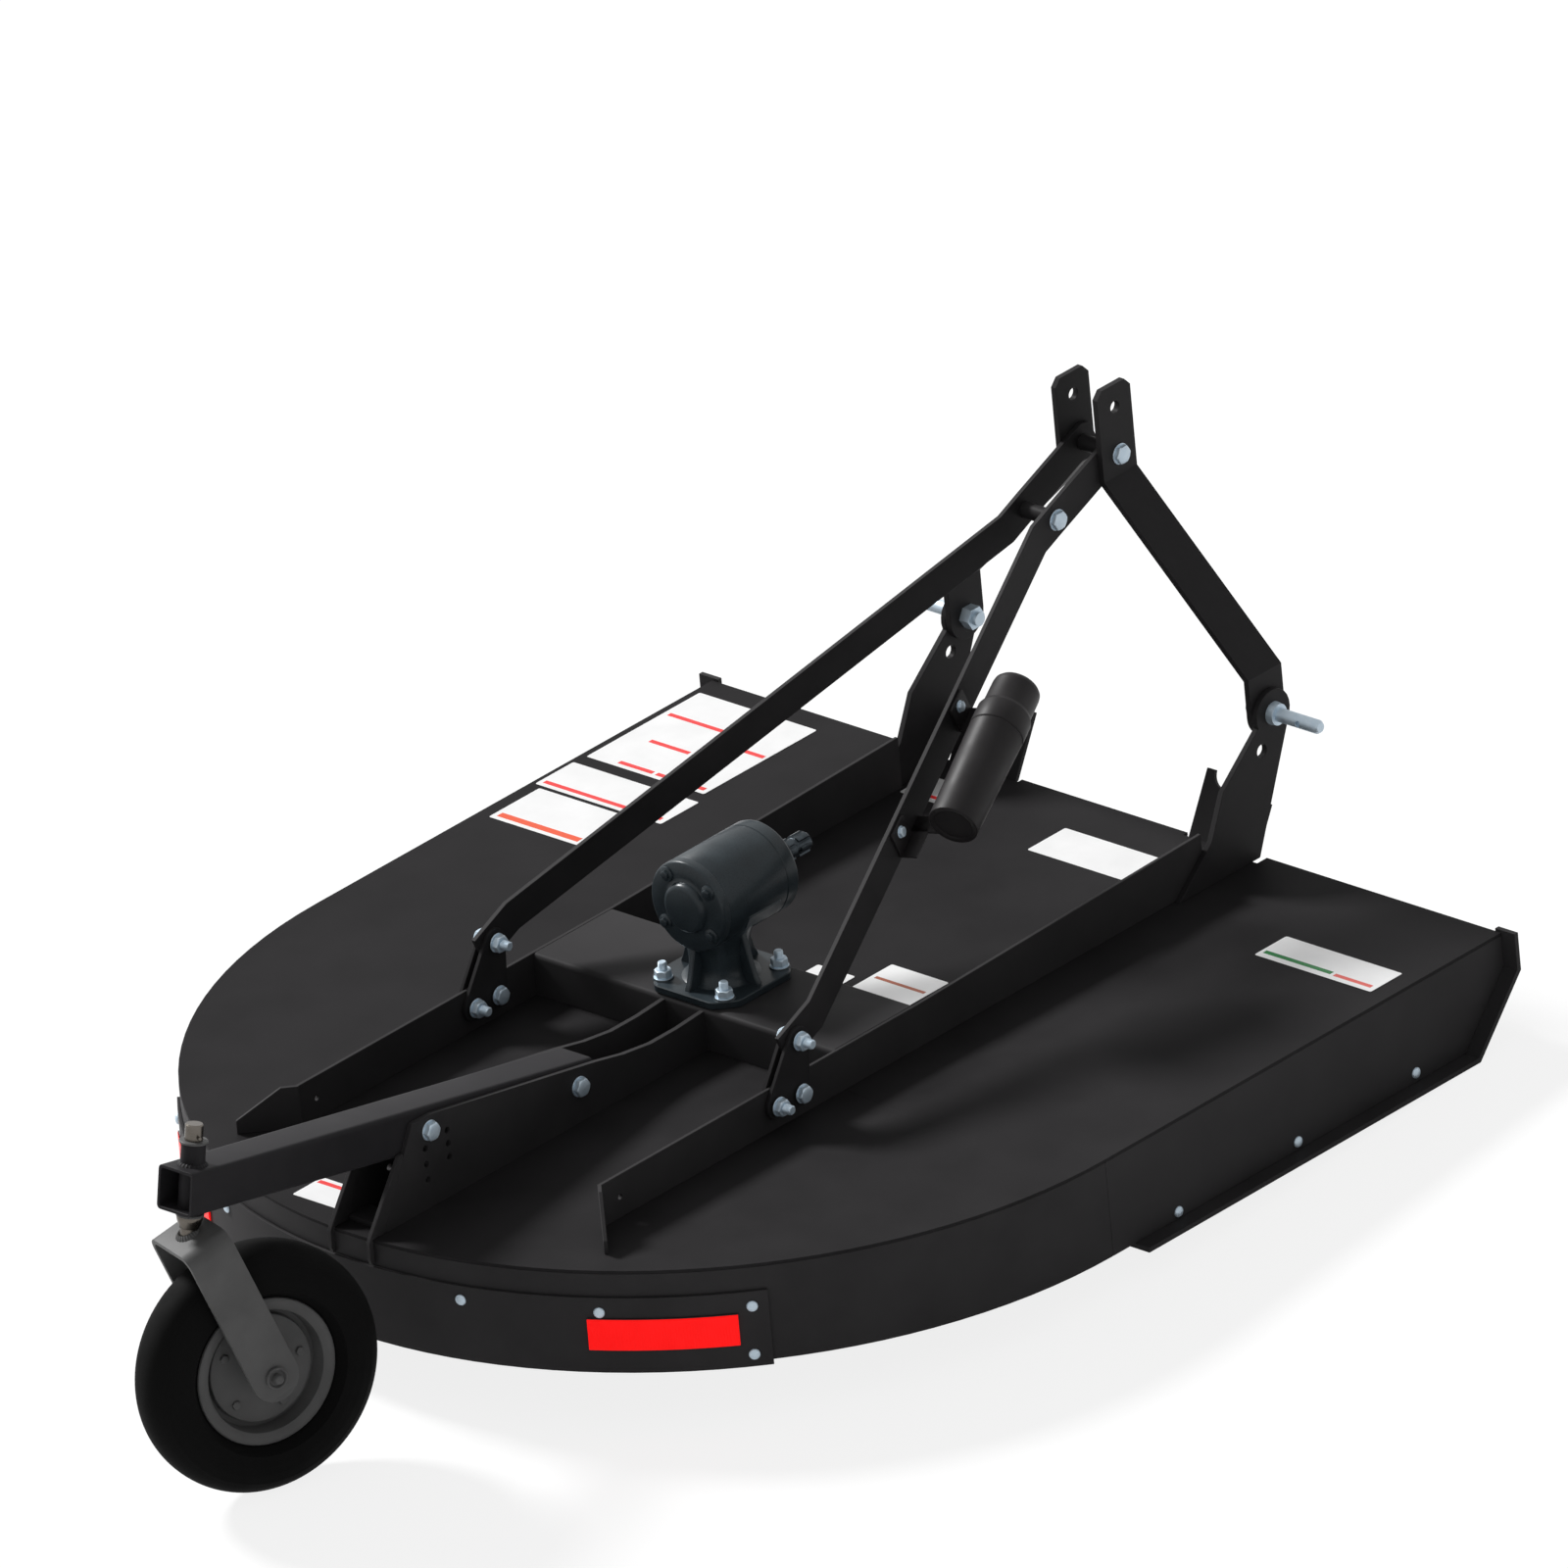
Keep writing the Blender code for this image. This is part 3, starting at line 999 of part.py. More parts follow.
def build_caster(axis):
    """Fork bent from one strap, its spindle, and the wheel's axle.

    In the caster's frame Z runs up the spindle and Y points along the trail. The strap
    is tilted about X, so that its legs run straight from the spindle's foot to the axle.
    """
    half_arm = ARM_SIZE / 2
    top = half_arm + CASTER_TUBE_ABOVE
    lean = math.atan2(CASTER_TRAIL, CASTER_DROP - FORK_TOP_DROP)
    leg = math.hypot(CASTER_TRAIL, CASTER_DROP - FORK_TOP_DROP)
    half = FORK_WIDTH / 2
    middle = FORK_INNER / 2 + FORK_THICKNESS / 2
    outer = FORK_INNER / 2 + FORK_THICKNESS
    left = arc(-middle + FORK_BEND, -FORK_BEND, FORK_BEND, math.pi, math.pi / 2, 6)
    right = arc(middle - FORK_BEND, -FORK_BEND, FORK_BEND, math.pi / 2, 0, 6)
    path = [(-middle, -leg - half)] + left + right + [(middle, -leg - half)]
    block = moved(bent_bar(path, FORK_THICKNESS, 2 * half), PLATE_XZ)
    outline = [(-half - 0.001, FORK_THICKNESS)] + arc(0, -leg, half + 0.00001, math.pi, math.tau, 18)
    outline += [(half + 0.001, FORK_THICKNESS)]
    strap = joined(block, [side_plate(outline, 4 * outer, 0)], "INTERSECT")
    tilt = Matrix.Translation((0, 0, -FORK_TOP_DROP)) @ Matrix.Rotation(lean, 4, "X")
    moved(strap, tilt)
    line = (0, CASTER_TRAIL, -CASTER_DROP)
    hole = rod_mesh(AXLE_RADIUS + AXLE_CLEARANCE, -2 * outer, 2 * outer, "X", line, 20)
    strap = joined(strap, [hole], "DIFFERENCE")
    foot = -FORK_TOP_DROP - SPINDLE_RADIUS * math.tan(lean)
    spindle = rod_mesh(SPINDLE_RADIUS, foot, top + SPINDLE_ABOVE, "Z", sides=32)
    sleeve_low = -half_arm - CASTER_TUBE_BELOW
    washer_top = sleeve_low - SEAT
    washer_low = rod_mesh(WASHER_RADIUS, washer_top - WASHER_THICKNESS, washer_top, "Z", sides=32)
    washer_top = rod_mesh(WASHER_RADIUS, top + SEAT, top + SEAT + WASHER_THICKNESS, "Z", sides=32)
    piece("caster_fork", joined(strap, [spindle, washer_low, washer_top]), GREY_PAINT, axis)
    face = outer + SEAT
    axle = rod_mesh(AXLE_RADIUS, -face - AXLE_HEAD_HEIGHT - 0.008, face + 0.002, "X", line, 20)
    heads = [rod_mesh(AXLE_HEAD_RADIUS, face, face + AXLE_HEAD_HEIGHT, "X", line, 6),
             rod_mesh(AXLE_HEAD_RADIUS, -face - AXLE_HEAD_HEIGHT, -face, "X", line, 6)]
    piece("wheel_axle", joined(axle, heads), ZINC, axis)


def tyre_section(steps):
    """Outer line of the tyre's section as (radius, x), from one bead over the crown to the other."""
    bead_x = RIM_WIDTH / 2 - RIM_SHEET - SEAT
    base = RIM_LIP_RADIUS + 0.003
    height = TYRE_RADIUS - base
    points = [(BEAD_RADIUS - 0.010, -bead_x), (base - 0.001, -bead_x)]
    for k in range(1, steps):
        angle = math.pi * k / steps
        x = -math.cos(angle)
        r = math.sin(angle)
        points.append((base + height * r ** 0.62, TYRE_WIDTH / 2 * math.copysign(abs(x) ** 0.85, x)))
    return points + [(base - 0.001, bead_x), (BEAD_RADIUS - 0.010, bead_x)]


def build_wheel(axis):
    """Steel rim with its hub, and the tyre."""
    frame = empty("wheel_axis", axis, (0, CASTER_TRAIL, -CASTER_DROP))
    bead_inner = BEAD_RADIUS - 0.010
    piece("tyre", turned_mesh(tyre_section(14), WHEEL_SEGMENTS, AXIS_TURN["X"]), RUBBER, frame)
    half = RIM_WIDTH / 2
    seat_radius = bead_inner - SEAT
    disc = RIM_DISH_RADIUS
    face = 0.014
    rim_profile = [
        (AXLE_RADIUS + AXLE_CLEARANCE, -WHEEL_HUB_WIDTH / 2), (WHEEL_HUB_RADIUS, -WHEEL_HUB_WIDTH / 2),
        (WHEEL_HUB_RADIUS, -face - RIM_SHEET), (disc, -face - RIM_SHEET),
        (seat_radius - 0.022, -0.006 - RIM_SHEET),
        (seat_radius - 0.012, -0.020), (seat_radius - RIM_SHEET, -half + RIM_SHEET),
        (RIM_LIP_RADIUS - 0.002, -half),
        (RIM_LIP_RADIUS, -half + 0.001), (RIM_LIP_RADIUS, -half + RIM_SHEET),
        (seat_radius, -half + RIM_SHEET),
        (seat_radius, half - RIM_SHEET), (RIM_LIP_RADIUS, half - RIM_SHEET), (RIM_LIP_RADIUS, half - 0.001),
        (RIM_LIP_RADIUS - 0.002, half), (seat_radius - RIM_SHEET, half - RIM_SHEET),
        (seat_radius - 0.012, 0.020),
        (seat_radius - 0.022, 0.006 + RIM_SHEET), (disc, face + RIM_SHEET),
        (WHEEL_HUB_RADIUS, face + RIM_SHEET),
        (WHEEL_HUB_RADIUS, WHEEL_HUB_WIDTH / 2), (AXLE_RADIUS + AXLE_CLEARANCE, WHEEL_HUB_WIDTH / 2),
    ]
    piece("wheel_rim", turned_mesh(rim_profile, WHEEL_SEGMENTS, AXIS_TURN["X"]), GREY_PAINT, frame)


def build_canister(root):
    """Manual tube with its screw cap, on two tabs on the right brace's outer face.

    Its frame sits on the brace's middle line at the upper bolt: X outboard, Z up the brace.
    """
    start, second, kink, end = brace_points()
    bend = second.lerp(kink, BRACE_SPLAY_START)
    run = Vector((RAIL_X - BRACE_TOP_X, kink.x - bend.x, kink.y - bend.y))
    down = run.normalized()
    side = Vector((1, 0, 0))
    side = (side - down * side.dot(down)).normalized()
    under = side.cross(down)
    centre = Vector((BRACE_TOP_X, bend.x, bend.y)) + run * CANISTER_BOLT_ALONG
    turn = Matrix(((*side, 0), (*under, 0), (*(-down), 0), (0, 0, 0, 1))).transposed()
    frame = Matrix.Translation(centre) @ turn
    face = BRACE_THICKNESS / 2 + SEAT
    sheet = CANISTER_TAB_THICKNESS
    half = CANISTER_TAB / 2
    reach = CANISTER_OUT - face
    low = CANISTER_SEAM - CANISTER_LENGTH
    line = (CANISTER_OUT, 0, 0)
    bolt_low = -CANISTER_BOLT_SPACING

    def ear(middle, top, bottom, length):
        """A tab flat on the brace, and the web that carries the tube beside it."""
        tab = box_mesh((sheet, CANISTER_TAB, CANISTER_TAB), (face + sheet / 2, 0, middle))
        web = box_mesh((length, sheet, top - bottom), (face + length / 2, half - sheet, (top + bottom) / 2))
        return [tab, web]

    tube = rod_mesh(CANISTER_FOOT_RADIUS, low, CANISTER_SEAM, "Z", line, 40, CANISTER_RADIUS)
    foot_web = box_mesh((reach, sheet, 0.034), (face + reach / 2, half - sheet, low + 0.017))
    stem = ear(bolt_low, low + 0.030, bolt_low - half, 0.030)
    piece("canister_body", moved(joined(tube, [*stem, foot_web]), frame), PLASTIC, root)
    cap_low = CANISTER_SEAM + SEAT
    collar = CANISTER_SEAM + CANISTER_COLLAR_LENGTH
    cap_top = CANISTER_SEAM + CANISTER_CAP_LENGTH
    cap = turned_mesh([(0, cap_low), (CANISTER_RADIUS, cap_low), (CANISTER_RADIUS, collar),
                       (CANISTER_CAP_RADIUS, collar + 0.004), (CANISTER_CAP_RADIUS, cap_top - 0.008),
                       (CANISTER_CAP_RADIUS - 0.002, cap_top - 0.003),
                       (CANISTER_CAP_RADIUS - 0.007, cap_top),
                       (0, cap_top)], 40, Matrix.Translation(line))
    piece("canister_cap", moved(joined(cap, ear(0.0, half, -half, reach)), frame), PLASTIC, root)


def world_corners(item):
    """World positions of an object's mesh vertices."""
    graph = bpy.context.evaluated_depsgraph_get()
    seen = item.evaluated_get(graph)
    return [seen.matrix_world @ vertex.co for vertex in seen.data.vertices]


def park(root):
    """Tip the machine until skid noses and tail wheel stand on one level, then centre it."""
    names = ("skid_left", "skid_right", "tyre")
    for _ in range(12):
        bpy.context.view_layer.update()
        low = {name: min(world_corners(bpy.data.objects[name]), key=lambda p: p.z) for name in names}
        front = low["skid_right"]
        rear = low["tyre"]
        root.rotation_euler.x += math.atan2(rear.z - front.z, front.y - rear.y)
    bpy.context.view_layer.update()
    points = [p for item in parts.objects if item.type == "MESH" for p in world_corners(item)]
    low = [min(p[k] for p in points) for k in range(3)]
    high = [max(p[k] for p in points) for k in range(3)]
    root.location = (-(low[0] + high[0]) / 2, -(low[1] + high[1]) / 2, -low[2])
    bpy.context.view_layer.update()


clear_scene()
parts = new_collection(COLLECTION)
cutters = new_collection("cutters")


def main():
    root = empty("deck_frame", None, (0, 0, 0))
    build_deck(root)
    build_skirts(root)
    build_band(root)
    build_skids(root)
    build_rails(root)
    build_crossmember(root)
    build_gearbox(root)
    build_input_shaft(root)
    build_rotor(root)
    build_uprights(root)
    build_hitch_pins(root)
    build_mast(root)
    build_mast_bolts(root)
    build_braces(root)
    build_brackets(root)
    build_tail_plates(root)
    caster = build_tail_arm(root)
    build_caster(caster)
    build_wheel(caster)
    build_canister(root)
    park(root)


main()
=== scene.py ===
"""Looks of the brush mower: its finishes, fasteners, casting, wheel and labels, and the studio.

Everything is built in metres in the machine's deck frame (X right, Y forward, Z up, origin at
the middle of the deck's front edge) and then placed in the row frame, where the CAD solids are.
"""
import logging
import math
from dataclasses import dataclass
from enum import Enum

import bmesh
import bpy
import numpy as np
from mathutils import Matrix


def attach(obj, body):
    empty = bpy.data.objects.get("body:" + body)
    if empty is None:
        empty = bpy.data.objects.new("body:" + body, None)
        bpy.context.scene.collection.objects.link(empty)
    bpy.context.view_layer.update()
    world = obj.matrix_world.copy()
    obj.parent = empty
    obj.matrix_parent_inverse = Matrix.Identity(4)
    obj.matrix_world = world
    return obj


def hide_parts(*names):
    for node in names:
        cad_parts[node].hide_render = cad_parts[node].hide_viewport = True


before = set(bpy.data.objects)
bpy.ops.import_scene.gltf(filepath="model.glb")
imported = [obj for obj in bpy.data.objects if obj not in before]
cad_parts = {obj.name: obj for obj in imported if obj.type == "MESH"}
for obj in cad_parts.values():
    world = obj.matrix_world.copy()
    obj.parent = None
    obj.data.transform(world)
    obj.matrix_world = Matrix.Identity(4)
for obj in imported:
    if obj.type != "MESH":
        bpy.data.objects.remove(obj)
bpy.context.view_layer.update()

log = logging.getLogger("brush_mower")
Array = np.ndarray
Tree = bpy.types.NodeTree
Socket = bpy.types.NodeSocket
Point = tuple[float, float]
TURN = math.tau
QUARTER = math.pi / 2
SEAT = 0.0003            # gap between two pieces that touch
MERGE = 1e-6             # points closer than this are one point
CAD_MERGE = 1e-5         # the same for the loose triangles of a CAD node
FLAT = math.radians(0.6) # CAD faces that meet at less than this are one face
SHARP = math.radians(35) # edges sharper than this get a bevel
THREAD_PITCH = 0.002
NOISE = (0.3, 0.7)       # the part of a noise's range that shades and gloss follow


# Surfaces

@dataclass
class Shell:
    """Points and many-cornered faces of one or more surfaces.

    Attributes:
        points: Corner positions, one row each.
        loops: Corner numbers of every face, one face after another.
        sizes: Number of corners of each face.
        marks: Number of the finish that each face takes.
    """

    points: Array
    loops: Array
    sizes: Array
    marks: Array

    def placed(self, place: Array) -> "Shell":
        """The same surfaces carried by a 4 by 4 matrix."""
        points = self.points @ place[:3, :3].T + place[:3, 3]
        return Shell(points, self.loops, self.sizes, self.marks)

    def marked(self, mark: int) -> "Shell":
        """The same surfaces with one finish number on every face."""
        return Shell(self.points, self.loops, self.sizes, np.full(len(self.sizes), mark))


def joined(*shells: Shell) -> Shell:
    """Put several surfaces, each with its own points, into one."""
    starts = np.cumsum([0] + [len(shell.points) for shell in shells[:-1]])
    return Shell(np.vstack([shell.points for shell in shells]),
                 np.concatenate([shell.loops + start for shell, start in zip(shells, starts)]),
                 np.concatenate([shell.sizes for shell in shells]),
                 np.concatenate([shell.marks for shell in shells]))


def grid(points: Array, ring: bool = False, caps: bool = False) -> Shell:
    """Four-cornered faces of a grid of points whose last column meets the first.

    Args:
        points: Positions, shaped rows by columns by three.
        ring: Whether the last row meets the first.
        caps: Whether the first and last rows are closed by one face each.

    Returns:
        The surface, its faces in the grid's order.
    """
    rows, columns = points.shape[:2]
    numbers = np.arange(rows * columns).reshape(rows, columns)
    cells = np.vstack([numbers, numbers[:1]]) if ring else numbers
    cells = np.hstack([cells, cells[:, :1]])
    loops = np.stack([cells[:-1, :-1], cells[:-1, 1:], cells[1:, 1:], cells[1:, :-1]], -1).ravel()
    sizes = np.full(len(loops) // 4, 4)
    if caps:
        loops = np.concatenate([loops, numbers[0, ::-1], numbers[-1]])
        sizes = np.concatenate([sizes, [columns, columns]])
    return Shell(points.reshape(-1, 3), loops, sizes, np.zeros(len(sizes), int))


def mm(*points: Point, base: float = 0.0) -> Array:
    """Points in metres from points in millimetres, the second number counted from a base."""
    return np.array(points) / 1000 + (0, base)


def mirrored(line: Array, sign: tuple[int, int] = (1, -1)) -> Array:
    """A line and then its mirror image, which runs back."""
    return np.vstack([line, (line * sign)[::-1]])


def unit(vector: Array) -> Array:
    """Vectors, one in each row, scaled to length one."""
    return vector / np.linalg.norm(vector, axis=-1, keepdims=True)


def spot(radius: float, angle: float) -> Point:
    """A point on a circle about the origin of the plane."""
    return radius * math.cos(angle), radius * math.sin(angle)


def around(radius: Array | float, level: Array | float, steps: int) -> Array:
    """Points (radius cos a, radius sin a, level) for each step of a over one turn."""
    angle = TURN * np.arange(steps) / steps
    return np.stack([radius * np.cos(angle), radius * np.sin(angle), level + 0 * angle], -1)


def turned(profile: list[Point] | Array, steps: int = 48, ring: bool = False) -> Shell:
    """A turned shape: (radius, height) points carried round Z.

    Args:
        profile: The line, which starts and ends on the axis unless it is a ring.
        steps: Number of places round the axis.
        ring: Whether the line closes on its own first point.

    Returns:
        The turned surface.
    """
    line = np.asarray(profile, float)
    return grid(around(line[:, :1], line[:, 1:], steps), ring)


def rod(radius: float, low: float, high: float, steps: int) -> Shell:
    """A plain bar on Z."""
    return turned([(0, low), (radius, low), (radius, high), (0, high)], steps)


def waved(radius: Array, level: Array) -> Shell:
    """A round shape on Z whose radius varies with the angle, closed on the axis at both ends.

    Args:
        radius: Radii, shaped levels by places round the axis.
        level: Height of each row of radii.

    Returns:
        The closed surface.
    """
    steps = radius.shape[1]
    radius = np.vstack([np.zeros((1, steps)), radius, np.zeros((1, steps))])
    level = np.concatenate([level[:1], level, level[-1:]])
    return grid(around(radius, level[:, None], steps))


def oblong(left: float, low: float, right: float, high: float) -> Array:
    """Corners of an upright rectangle, anticlockwise."""
    return np.array([(left, low), (right, low), (right, high), (left, high)])


def headings(outline: Array) -> tuple[Array, Array]:
    """Unit vectors along the side ahead of each corner and along the side behind it."""
    ahead = unit(np.roll(outline, -1, 0) - outline)
    return ahead, np.roll(ahead, 1, 0)


def inset(outline: Array, depth: float) -> Array:
    """Draw a closed anticlockwise outline inwards.

    Each point moves along the sum of its two sides' inward normals, divided by one plus the
    cosine of the turn, so that both sides move by the depth.
    """
    ahead, behind = headings(outline)
    left = np.stack([-ahead[:, 1], ahead[:, 0]], 1)
    both = left + np.stack([-behind[:, 1], behind[:, 0]], 1)
    return outline + both * (depth / (both * left).sum(1))[:, None]


def rounded(corner: Array, reach: float, steps: int = 5) -> Array:
    """Turn each corner of a closed outline into a short curve.

    Corner C becomes (1-s)^2 A + 2s(1-s) C + s^2 B for s from 0 to 1, where A and B lie on its
    two sides at the given reach.

    Args:
        corner: Corner points in the plane.
        reach: Distance of A and B from the corner.
        steps: Number of pieces in each curve.

    Returns:
        The points of the rounded outline.
    """
    ahead, behind = headings(corner)
    share = np.linspace(0, 1, steps + 1)[None, :, None]
    start, end = (corner - behind * reach)[:, None], (corner + ahead * reach)[:, None]
    curve = (1 - share) ** 2 * start + 2 * share * (1 - share) * corner[:, None] + share ** 2 * end
    return curve.reshape(-1, 2)


def plate(outline: Array, low: float, high: float, edge: float = 0.0006) -> Shell:
    """A flat plate in XY with its edges broken.

    Args:
        outline: Anticlockwise corner points.
        low: Height of the lower face.
        high: Height of the upper face.
        edge: Width of the broken edge.

    Returns:
        The closed plate.
    """
    small = inset(outline, edge)
    levels = ((small, low), (outline, low + edge), (outline, high - edge), (small, high))
    points = np.stack([np.column_stack([line, np.full(len(line), z)]) for line, z in levels])
    return grid(points, caps=True)


def carried(section: Array, path: Array, side: Array | None = None,
            widths: Array | None = None) -> Shell:
    """Carry a closed section along a path.

    The section's second axis lies along side cross tangent.

    Args:
        section: Points of the section in its own plane.
        path: Points of the path.
        side: Direction of the section's first axis, or none for tangent cross Z.
        widths: Scale of the first axis at each path point.

    Returns:
        The closed surface.
    """
    tangent = unit(np.gradient(path, axis=0))
    if side is None:
        side = unit(np.cross(tangent, (0.0, 0.0, 1.0)))
    lift = np.cross(side, tangent)
    scale = np.ones(len(path)) if widths is None else widths
    across = section[None, :, :1] * (side * scale[:, None])[:, None]
    return grid(path[:, None] + across + section[None, :, 1:] * lift[:, None], caps=True)


def nut(flats: float, height: float, dome: float = 0.0, both: bool = True) -> Shell:
    """A hexagon nut or head on Z, its corners chamfered.

    The radius is the smaller of flats / cos(angle from the nearest flat) and a cone at each
    end. The outer face's height falls with the square of the radius.

    Args:
        flats: Distance from the axis to a flat.
        height: Length along the axis.
        dome: Extra height at the middle of the outer face.
        both: Whether the inner end is chamfered too.

    Returns:
        The closed surface, from height 0 up.
    """
    angle = TURN * np.arange(48) / 48
    hexagon = flats / np.cos((angle + TURN / 12) % (TURN / 6) - TURN / 12)
    level = np.array([0, 0.06, 0.14, 0.5, 0.8, 0.88, 0.95, 1.0]) * height
    inner = 0.97 * flats + level * (1.9 if both else 50)
    outer = 0.95 * flats + (height - level) * 1.9
    radius = np.minimum(hexagon[None], np.minimum(inner, outer)[:, None])
    share = np.linspace(1, 0, 5)[1:]
    crown = share[:, None] * radius[-1:]
    return waved(np.vstack([radius, crown]),
                 np.concatenate([level, height + dome * (1 - share ** 2)]))


def threaded(radius: float, length: float) -> Shell:
    """A threaded end on Z with a chamfered tip.

    The radius dips by a triangle wave of height / pitch - angle / one turn, and stays under a
    cone at the tip.
    """
    angle = TURN * np.arange(24) / 24
    height = np.linspace(0, length, max(6, round(5 * length / THREAD_PITCH)))
    wave = np.abs((height[:, None] / THREAD_PITCH - angle / TURN) % 1 * 2 - 1)
    cone = radius * 0.78 + (length - height)[:, None]
    return waved(np.minimum(radius - 0.55 * THREAD_PITCH * wave, cone), height)


def washer(outer: float, inner: float, low: float, high: float) -> Shell:
    """A flat washer on Z with softly broken edges."""
    edge = (high - low) * 0.22
    line = [(inner, low), (outer - edge, low), (outer, low + edge), (outer, high - edge),
            (outer - edge, high), (inner, high)]
    return turned(line, 36, ring=True)


def bead(radius: float, height: float, size: float) -> Shell:
    """A fillet of weld round a bar on Z, swelling with the sine of the angle at every ripple.

    Args:
        radius: Radius of the bar that it runs round.
        height: Height of the face that the bar stands on.
        size: Leg length of the fillet, upwards where positive and downwards where negative.

    Returns:
        The closed ring.
    """
    steps = 96
    swell = 1 + 0.1 * np.sin(TURN * np.arange(steps) / 4)
    line = np.array([(-0.002, 0.0), (1.0, 0.0), (0.72, 0.4), (0.4, 0.72), (0.0, 1.0),
                     (-0.5, 0.5)])
    reach = radius + np.abs(size) * line[:, :1] * swell
    return grid(around(reach, height + size * line[:, 1:] * swell, steps), ring=True)


# Places

def shift(x: float = 0.0, y: float = 0.0, z: float = 0.0) -> Array:
    """A matrix that moves."""
    place = np.eye(4)
    place[:3, 3] = (x, y, z)
    return place


def spin(axis: str, angle: float) -> Array:
    """A matrix that turns about the X, Y or Z axis, right-handed, by an angle in radians."""
    first, second = {"X": (1, 2), "Y": (2, 0), "Z": (0, 1)}[axis]
    place = np.eye(4)
    place[first, first] = place[second, second] = math.cos(angle)
    place[second, first] = math.sin(angle)
    place[first, second] = -math.sin(angle)
    return place


TO_X = spin("Y", QUARTER)            # Z of a turned shape becomes X
TO_LEFT = spin("Y", -QUARTER)        # Z becomes -X
TO_Y = spin("X", -QUARTER)           # Z becomes Y
TO_BACK = spin("X", QUARTER)         # Z becomes -Y
PLATE_YZ = np.eye(4)[[2, 0, 1, 3]]   # (x, y, z) of a plate becomes (y, z, x)

RAIL_X = 0.307                       # middle of a deck rail
MAST_UPPER = (0.052, 0.584)          # Y and Z of the mast's two bolts
MAST_LOWER = (-0.087, 0.528)
BRACE_FOOT = (-1.035, 0.127)         # and of the bolt at the brace's lower end
GEAR_MIDDLE, GEAR_FRONT, GEAR_AXIS = -0.86, -0.748, 0.217
ARM_PIVOT = (-1.232, 0.0595)
ARM_RISE = 0.2
ARM_SLOPE = math.atan(ARM_RISE)
CASTER_ALONG = (-2.031 - ARM_PIVOT[0]) / math.cos(ARM_SLOPE)
CASTER_STEER = math.radians(-20.0)
BLADE_SET = math.radians(20.0)
WHEEL_TRAIL, WHEEL_DROP = 0.125, 0.294

DECK = shift(0, 1.0171223, 0.163848) @ spin("X", math.radians(-3.6236))
ARM = shift(0, *ARM_PIVOT) @ spin("X", -ARM_SLOPE)
CASTER = DECK @ ARM @ shift(0, CASTER_ALONG, 0) @ spin("Z", CASTER_STEER)
FRAMES = {"deck": DECK, "rotor": DECK @ shift(0, GEAR_MIDDLE, 0) @ spin("Z", BLADE_SET),
          "input_shaft": DECK @ shift(0, GEAR_FRONT, GEAR_AXIS), "caster": CASTER,
          "tail_wheel": CASTER @ shift(0, WHEEL_TRAIL, -WHEEL_DROP)}


# Finishes

def linear(colour: str) -> tuple[float, float, float, float]:
    """Turn an sRGB colour, six hex digits after a hash, into linear red, green, blue and one."""
    value = np.array([int(colour[k:k + 2], 16) for k in (1, 3, 5)]) / 255
    light = np.where(value <= 0.04045, value / 12.92, ((value + 0.055) / 1.055) ** 2.4)
    return (float(light[0]), float(light[1]), float(light[2]), 1.0)


def add_node(tree: Tree, kind: str, settings: dict | None = None,
             links: dict | None = None) -> bpy.types.Node:
    """Add one node with its settings and its incoming links.

    Args:
        tree: The material's or world's node tree.
        kind: Blender's name for the node, without ShaderNode.
        settings: Values by socket name or node property.
        links: Output sockets by the name or number of the input that they feed.

    Returns:
        The new node.
    """
    node = tree.nodes.new(f"ShaderNode{kind}")
    for name, value in (settings or {}).items():
        if name in node.inputs:
            node.inputs[name].default_value = value
        else:
            setattr(node, name, value)
    for name, output in (links or {}).items():
        tree.links.new(output, node.inputs[name])
    return node


def empty_tree(owner: bpy.types.Material | bpy.types.World) -> Tree:
    """The owner's node tree, switched on and cleared."""
    owner.use_nodes = True
    owner.node_tree.nodes.clear()
    return owner.node_tree


def per_metre(millimetres: float) -> float:
    """Scale of a texture whose grains are this many millimetres across."""
    return 1000.0 / millimetres


